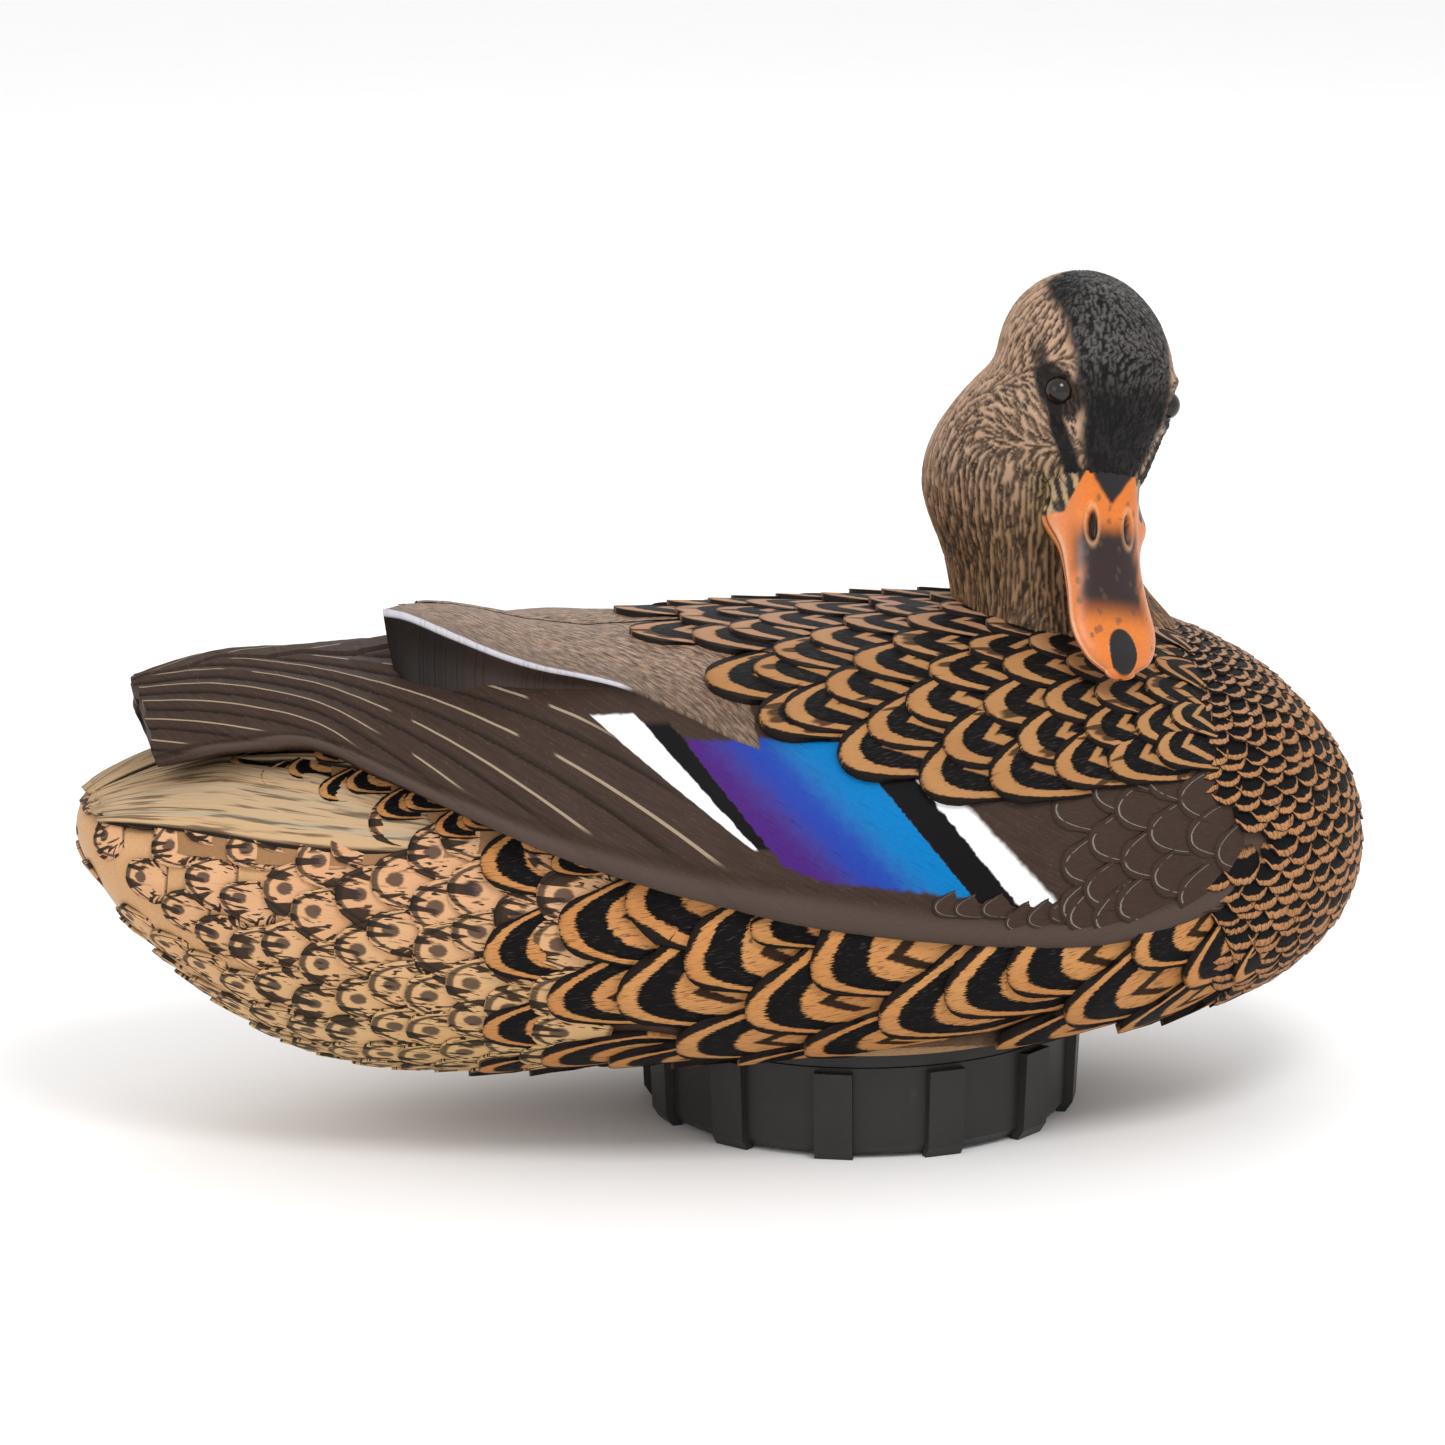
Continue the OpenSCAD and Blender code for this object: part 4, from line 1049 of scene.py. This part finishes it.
def remeshed_head(voxel):
    """One skin over the neck and the skull, blended where they meet."""
    q = smooth(NECK, np.linspace(0, len(NECK) - 1, 40))
    a = np.linspace(0, 2 * math.pi, 72, endpoint=False)
    out = np.stack([np.cos(a), np.sin(a), 0 * a], -1)
    z = q[:, 2:3]
    back = step(-0.3, -1.0, np.cos(a))
    flare = step(158, 138, z) * (1.0 + 4.0 * np.maximum(np.cos(a), 0) - 6.0 * back)
    flare = flare - 4.0 * back * step(196, 168, z) * step(136, 158, z)
    neck = q[:, None, :3] + out * (q[:, 3:4] + flare)[..., None]
    q = smooth(SKULL, np.linspace(0, len(SKULL) - 1, 60))
    skull = head_point(q[:, :1] + 0 * a, q[:, 2:3] * np.cos(a), q[:, 1:2] + q[:, 3:4] * np.sin(a))
    made = [capped_loft(rings) for rings in (neck, skull)]
    bpy.ops.object.select_all(action="DESELECT")
    raw, other = (bpy.data.objects.new("raw_head", me) for me in made)
    for o in (raw, other):
        bpy.context.scene.collection.objects.link(o)
        o.select_set(True)
    bpy.context.view_layer.objects.active = raw
    bpy.ops.object.join()
    m = raw.modifiers.new("remesh", "REMESH")
    m.mode = "VOXEL"
    m.voxel_size = voxel / 1000
    sm = raw.modifiers.new("smooth", "SMOOTH")
    sm.factor = 0.5
    sm.iterations = 60
    sub = raw.modifiers.new("sub", "SUBSURF")
    sub.levels = sub.render_levels = 1
    me = bpy.data.meshes.new_from_object(raw.evaluated_get(bpy.context.evaluated_depsgraph_get()))
    bpy.data.objects.remove(raw)
    co = np.empty(len(me.vertices) * 3, np.float32)
    me.vertices.foreach_get("co", co)
    no = np.empty(len(me.vertices) * 3, np.float32)
    me.vertices.foreach_get("normal", no)
    faces = np.array([p.vertices[:] for p in me.polygons if len(p.vertices) == 4])
    bpy.data.meshes.remove(me)
    return co.reshape(-1, 3).astype(float) * 1000, no.reshape(-1, 3).astype(float), faces


def streak_cells(co, seeds, flow, size_along, size_across):
    """For each point, its distances to the nearest two seeds, stretched along each seed's flow, and the seed
    that lies nearest by plain distance."""
    tree = KDTree(len(seeds))
    for i, s in enumerate(seeds):
        tree.insert(co[s], i)
    tree.balance()
    near = 10
    idx = np.empty((len(co), near), int)
    for i, c in enumerate(co):
        found = tree.find_n(c, near)
        idx[i] = [k[1] for k in found]
    d = co[:, None] - co[seeds][idx]
    fl = flow[seeds][idx]
    la, lc = size_along[seeds][idx], size_across[seeds][idx]
    along = (d * fl).sum(-1)
    rest = d - along[..., None] * fl
    across = np.linalg.norm(rest, axis=-1)
    dist = np.sort(np.sqrt((along / la) ** 2 + (across / lc) ** 2), axis=1)
    return dist[:, 0], dist[:, 1], idx[:, 0]


def head():
    """Head and neck with drop-shaped pits between raised ridges, a dark crown and an eye stripe."""
    co, no, faces = remeshed_head(HEAD_VOXEL)
    rel = co - HEAD_AT
    f, s, u = rel @ FORE, rel @ RIGHT, rel @ CROWN
    z = co[:, 2]
    # the pits run back from the bill, then down the neck
    neck_part = step(228, 184, z)
    w = np.clip(step(24, -14, f) * 0.9 + neck_part, 0, 1)
    flow = over(np.tile(-FORE, (len(co), 1)), [0.0, 0.0, -1.0], w)
    flow = flow - (flow * no).sum(1, keepdims=True) * no
    flow /= np.maximum(np.linalg.norm(flow, axis=1, keepdims=True), 1e-6)
    # seeds of the pits, kept apart by a simple grid
    first = {}
    for i in rng.permutation(len(co)):
        first.setdefault(tuple((co[i] // HEAD_PIT_SPACING).astype(int)), i)
    seeds = np.array(list(first.values()))
    d1, d2, which = streak_cells(co, seeds, flow, 3.4 + 3.0 * neck_part, np.ones(len(co)))
    pit = step(0.62, 0.34, d1)
    ridge = step(0.02, 0.35, d2 - d1) * (d1 < 0.6)
    tone = rng.uniform(0, 1, len(seeds))[which]
    # paint
    wob = noise(co / 7, 21)
    col = over([0.64, 0.44, 0.31], [0.52, 0.32, 0.20], 0.5 + 0.5 * noise(co / 12, 22))
    col = over(col, [0.36, 0.21, 0.11], step(212, 176, z))
    corner = np.linalg.norm(rel - (30 * FORE - 8 * CROWN), axis=1)
    col = over(col, [0.47, 0.36, 0.15], 0.8 * step(24, 11, corner) * step(6, -2, u))
    col = over(col, [0.018, 0.011, 0.009], 0.95 * pit * (0.75 + 0.25 * tone))
    width = np.interp(f, [-36, -20, 4, 16, 26, 34], [13, 18.5, 17.8, 15.0, 11.5, 8.0])
    crown = step(width + 1.5, width - 1.5, np.abs(s) + 1.6 * wob) * step(2, 6, u + 0.2 * f)
    stripe = step(2.9, 1.4, np.abs(u - (12.0 - 0.46 * (f - 10)) + 0.5 * wob)) * step(4, 8, f) * step(36, 31, f)
    back = step(3.2, 1.6, np.abs(u - 12.0 + wob)) * step(10, 6, f) * step(-12, 0, f)
    dark_area = np.clip(np.maximum.reduce([crown, stripe, back * 0.8]), 0, 1)
    # the ridges in the dark areas are paler: partly random tone, partly painted sheen, strongest on top of the crown
    # away from the bill
    ridge_tone_and_sheen = 0.10 + 0.25 * tone + 1.3 * step(16, 24, u) * step(20, 0, f)
    dark_with_sheen = over([0.008, 0.007, 0.007], np.array([0.10, 0.09, 0.085]) * ridge_tone_and_sheen[:, None], 0.75 * ridge)
    col = over(col, dark_with_sheen, dark_area)
    # the eyes' almond recess and brow
    deep = np.zeros(len(co))
    for side in (-1, 1):
        e = head_point(np.array([10.0]), np.array([side * 20.5]), np.array([12.4]))[0]
        r = co - e
        a, b = r @ FORE, r @ CROWN
        near = np.abs(r @ RIGHT) < 12
        lens = np.sqrt((a / 7.4) ** 2 + ((b + 0.06 * a) / 4.4) ** 2)
        col = over(col, [0.012, 0.010, 0.010], 0.9 * step(1.25, 0.95, lens) * near)
        deep += 1.0 * np.exp(-((lens - 1.05) / 0.30) ** 2) * near * (1 + 0.35 * np.sign(b))
    relief = -0.75 * pit * (1 - dark_area) + 0.45 * dark_area * (step(0.0, 0.5, d2 - d1) - 0.5)
    co = co + no * (relief + deep + 0.3)[:, None]
    o = make("head_skin", co, faces, painted_material("head_paint", 0.42, 0.2), attrs={"paint": col})
    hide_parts("head")


def bill():
    """Bill with nostrils, a saddle, a pale rim and a nail."""
    nu, na = 230, 150
    u = np.linspace(0, len(BILL) - 1, nu)
    q = smooth(BILL, u)
    # round the tip off
    close = np.linspace(0, math.pi / 2, 12)[1:-1]
    place, level, half, high = q[-1]
    nose = [place + 2.4 * np.sin(close), level + 0 * close, half * np.cos(close), high * np.cos(close)]
    q = np.vstack([q, np.stack(nose, 1)])
    nu = len(q)
    a = np.linspace(0, 2 * math.pi, na, endpoint=False)
    c, s = np.cos(a), np.sin(a)
    along = q[:, :1] + 0 * a
    half = q[:, 2:3] * np.ones_like(a)
    # flatter above, with a soft culmen and rounded underside
    high = q[:, 3:4] * np.where(s > 0, 1.0, 0.8)
    gape = 4.6 * np.exp(-((along - 42.5) / 6.5) ** 2) * step(0.55, -0.1, s)
    across = (half + gape) * np.sign(c) * np.abs(c) ** (2 / 2.3)
    above = q[:, 1:2] + high * np.sign(s) * np.abs(s) ** (2 / 2.1)
    pts = head_point(along, across, above)
    out = pts - head_point(along, 0 * across, q[:, 1:2] + 0 * a)
    out /= np.maximum(np.linalg.norm(out, axis=-1, keepdims=True), 1e-6)
    upper = s > 0
    lateral = across / np.maximum(half, 1)
    # nostrils, the seam between the halves, the rim and the nail
    ng = ((along - 47) / 4.6) ** 2 + ((np.abs(across) - 6.2) / 1.7) ** 2
    seam = np.exp(-((a - np.pi) / 0.035) ** 2) + np.exp(-(np.minimum(a, 2 * np.pi - a) / 0.035) ** 2)
    rim = np.exp(-((s - 0.16) / 0.09) ** 2) * step(40, 52, along)
    nail = step(1.0, 0.84, ((along - 85.8) / 7.4) ** 2 + (across / 5.0) ** 2) * upper
    lift = (0.6 * np.exp(-((np.sqrt(ng) - 1.25) / 0.22) ** 2) - 1.6 * step(1.0, 0.4, ng)) * upper
    lift = lift - 0.9 * seam * step(30, 36, along) + 0.45 * rim + 0.35 * nail + 0.10 * noise(pts / 3.5, 31)
    pts = pts + out * lift[..., None]
    # paint
    dark = [0.02, 0.017, 0.017]
    col = over([0.88, 0.26, 0.045], [0.80, 0.19, 0.028], 0.5 + 0.5 * noise(pts / 9, 32))
    col = over(col, [0.76, 0.25, 0.09], 0.7 * step(0.55, 0.95, np.abs(lateral)))
    saddle = step(43, 51, along + 1.5 * noise(pts / 4, 33)) * step(79, 68, along)
    saddle = saddle * step(1.0, 0.6, np.abs(lateral) + 0.15 * noise(pts / 3, 34)) * upper
    col = over(col, [0.010, 0.013, 0.018], 0.97 * saddle)
    spots = np.stack([rng.uniform(38, 84, 46), rng.uniform(-12, 12, 46), rng.uniform(0.35, 0.9, 46)], 1)
    speck = 0 * along
    for pa, pc, size in spots:
        speck = np.maximum(speck, step(1.1, 0.7, np.hypot((along - pa) / (1.7 * size), (across - pc) / size)))
    col = over(col, [0.12, 0.07, 0.05], 0.6 * speck * upper)
    col = over(col, [0.85, 0.62, 0.45], 0.55 * rim)
    col = over(col, [0.03, 0.015, 0.012], step(1.05, 0.6, ng) * upper)
    col = over(col, [0.92, 0.50, 0.25], 0.5 * np.exp(-((np.sqrt(ng) - 1.25) / 0.2) ** 2) * upper)
    col = over(col, dark, nail)
    col = over(col, [0.05, 0.02, 0.012], 0.85 * seam * step(32, 38, along))
    # the crown's dark feathers run down to a point between the nostrils, and the cheek's meet the sides
    vee = 41.0 - 1.25 * np.abs(across) + 0.6 * noise(pts / 2, 36)
    col = over(col, dark, step(vee + 0.8, vee - 0.8, along) * (np.abs(across) < 9.5) * upper)
    cheek = 30.0 + 12.0 * np.clip((np.abs(lateral) - 0.52) / 0.45, 0, 1) + 0.5 * noise(pts / 2, 38)
    streaks = step(-0.15, 0.3, noise(np.stack([along / 2.2, across / 0.7, above / 0.7], -1), 39))
    hair = over([0.02, 0.013, 0.01], [0.50, 0.34, 0.18], streaks)
    col = over(col, hair, step(cheek + 0.5, cheek - 0.5, along))
    make("bill_skin", np.vstack([pts.reshape(-1, 3), pts[-1].mean(0)]), grid_faces(nu, na, wrap=True, flip=True),
         painted_material("bill_paint", 0.32, 0.1, 0.25),
         attrs={"paint": np.vstack([col.reshape(-1, 3), col[-1].mean(0)])})


# ---------------------------------------------------------------- CAD parts kept as they are


def dress():
    """Materials for the CAD nodes that show as they are, and a fine bevel on the pod's outer ones."""
    black = moulded_material("ring_plastic", (0.026, 0.024, 0.023), 0.42)
    looks = {
        "lock_ring": black, "pod_housing": black, "lid": black,
        "pod_gasket": moulded_material("gasket_rubber", (0.02, 0.02, 0.02), 0.7),
        "button": moulded_material("button_rubber", (0.09, 0.09, 0.095), 0.65),
        "lid_seal": moulded_material("seal_rubber", (0.30, 0.035, 0.025), 0.6, (0.4, 0.1, 0.08)),
        "battery_tray": moulded_material("tray_plastic", (0.06, 0.06, 0.065), 0.5),
        "motor_bracket": moulded_material("bracket_plastic", (0.07, 0.07, 0.075), 0.5),
        "power_switch": moulded_material("switch_plastic", (0.03, 0.03, 0.035), 0.45),
        "control_board": moulded_material("board_mask", (0.02, 0.12, 0.045), 0.35, (0.5, 0.42, 0.2)),
        "eyes": eye_material(),
    }
    cell = moulded_material("cell_sleeve", (0.38, 0.19, 0.04), 0.28, (0.5, 0.3, 0.1))
    for i in range(1, 5):
        looks["battery_%d" % i] = cell
    steel = metal_material("steel", (0.62, 0.62, 0.64), 0.32)
    brass = metal_material("brass", (0.72, 0.52, 0.22), 0.3)
    for n in ("head_bolt", "head_washer", "backing_ring", "pod_screws", "contact_springs", "contact_plates",
              "motor", "motor_screws", "motor_shaft"):
        looks[n] = steel
    for n in ("neck_insert", "eccentric_weight"):
        looks[n] = brass
    for n, m in looks.items():
        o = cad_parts[n]
        o.data.materials.clear()
        o.data.materials.append(m)
    for n in ("lock_ring", "lid", "pod_housing"):
        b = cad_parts[n].modifiers.new("edges", "BEVEL")
        b.width = 0.0005
        b.segments = 2
        b.limit_method = "ANGLE"
        b.angle_limit = math.radians(35)


def eye_material():
    s = Mat("eye_glass", 0.12, 0.35)
    cloud = s.noise(s.place(), 160.0, 3.0)
    c = s.mix(cloud, (0.004, 0.003, 0.003), (0.020, 0.010, 0.006))
    s.bsdf.inputs["Coat Weight"].default_value = 0.15
    s.bsdf.inputs["Coat Roughness"].default_value = 0.03
    return s.finish(c, cloud, 0.02)


# ---------------------------------------------------------------- stage

# turn and height of the camera in degrees, what it looks at and from how far in metres, and its lens in mm
CAMERA_TURN, CAMERA_AIM, CAMERA_AWAY, CAMERA_LENS = (-10, 14), (-0.0427, 0, 0.1205), 2.2, 181.6


def studio():
    """Pale floor, even white surroundings and three large soft lights; lengths are in metres."""
    m = Mat("floor_paper", 0.9, 0.1, plain=True)
    grain = m.noise(m.place(), 30.0, 2.0)
    paper = m.finish(m.mix(grain, (0.90, 0.90, 0.90), (0.92, 0.92, 0.92)), grain, 0.02)
    me = bpy.data.meshes.new("floor")
    me.from_pydata([(-6, -6, 0), (6, -6, 0), (6, 6, 0), (-6, 6, 0)], [], [(0, 1, 2, 3)])
    floor = bpy.data.objects.new("floor", me)
    me.materials.append(paper)
    bpy.context.scene.collection.objects.link(floor)
    world = bpy.data.worlds.new("studio")
    world.use_nodes = True
    bg = world.node_tree.nodes["Background"]
    bg.inputs[0].default_value = (1.0, 1.0, 1.0, 1.0)
    bg.inputs[1].default_value = 1.0
    bpy.context.scene.world = world

    def area(name, at, size, power, aim=(0, 0, 0.11)):
        data = bpy.data.lights.new(name, "AREA")
        data.size = size
        data.energy = power
        o = bpy.data.objects.new(name, data)
        o.location = at
        o.rotation_mode = "QUATERNION"
        o.rotation_quaternion = (Vector(aim) - Vector(at)).to_track_quat("-Z", "Y")
        bpy.context.scene.collection.objects.link(o)

    area("key", (0.2, -1.1, 1.5), 0.6, 13)
    area("fill", (-1.3, -0.8, 0.7), 1.0, 3)
    area("rim", (0.6, 1.2, 1.2), 0.9, 4)


def camera():
    """Long lens on the duck's right side, from a little above and behind; lengths are in metres."""
    data = bpy.data.cameras.new("camera")
    cam = bpy.data.objects.new("camera", data)
    az, el = (math.radians(v) for v in CAMERA_TURN)
    back = Vector((math.sin(az) * math.cos(el), -math.cos(az) * math.cos(el), math.sin(el)))
    cam.location = Vector(CAMERA_AIM) + back * CAMERA_AWAY
    cam.rotation_mode = "QUATERNION"
    cam.rotation_quaternion = (-back).to_track_quat("-Z", "Y")
    data.sensor_width = 36
    data.lens = CAMERA_LENS
    data.clip_start, data.clip_end = 0.05, 60
    bpy.context.scene.collection.objects.link(cam)
    bpy.context.scene.camera = cam


camera()
studio()
dress()
skin()
wings()
tertials()
breast()
flank()
rump()
tail()
scapulars()
coverts()
head()
bill()

bpy.context.scene.view_settings.view_transform = "Standard"
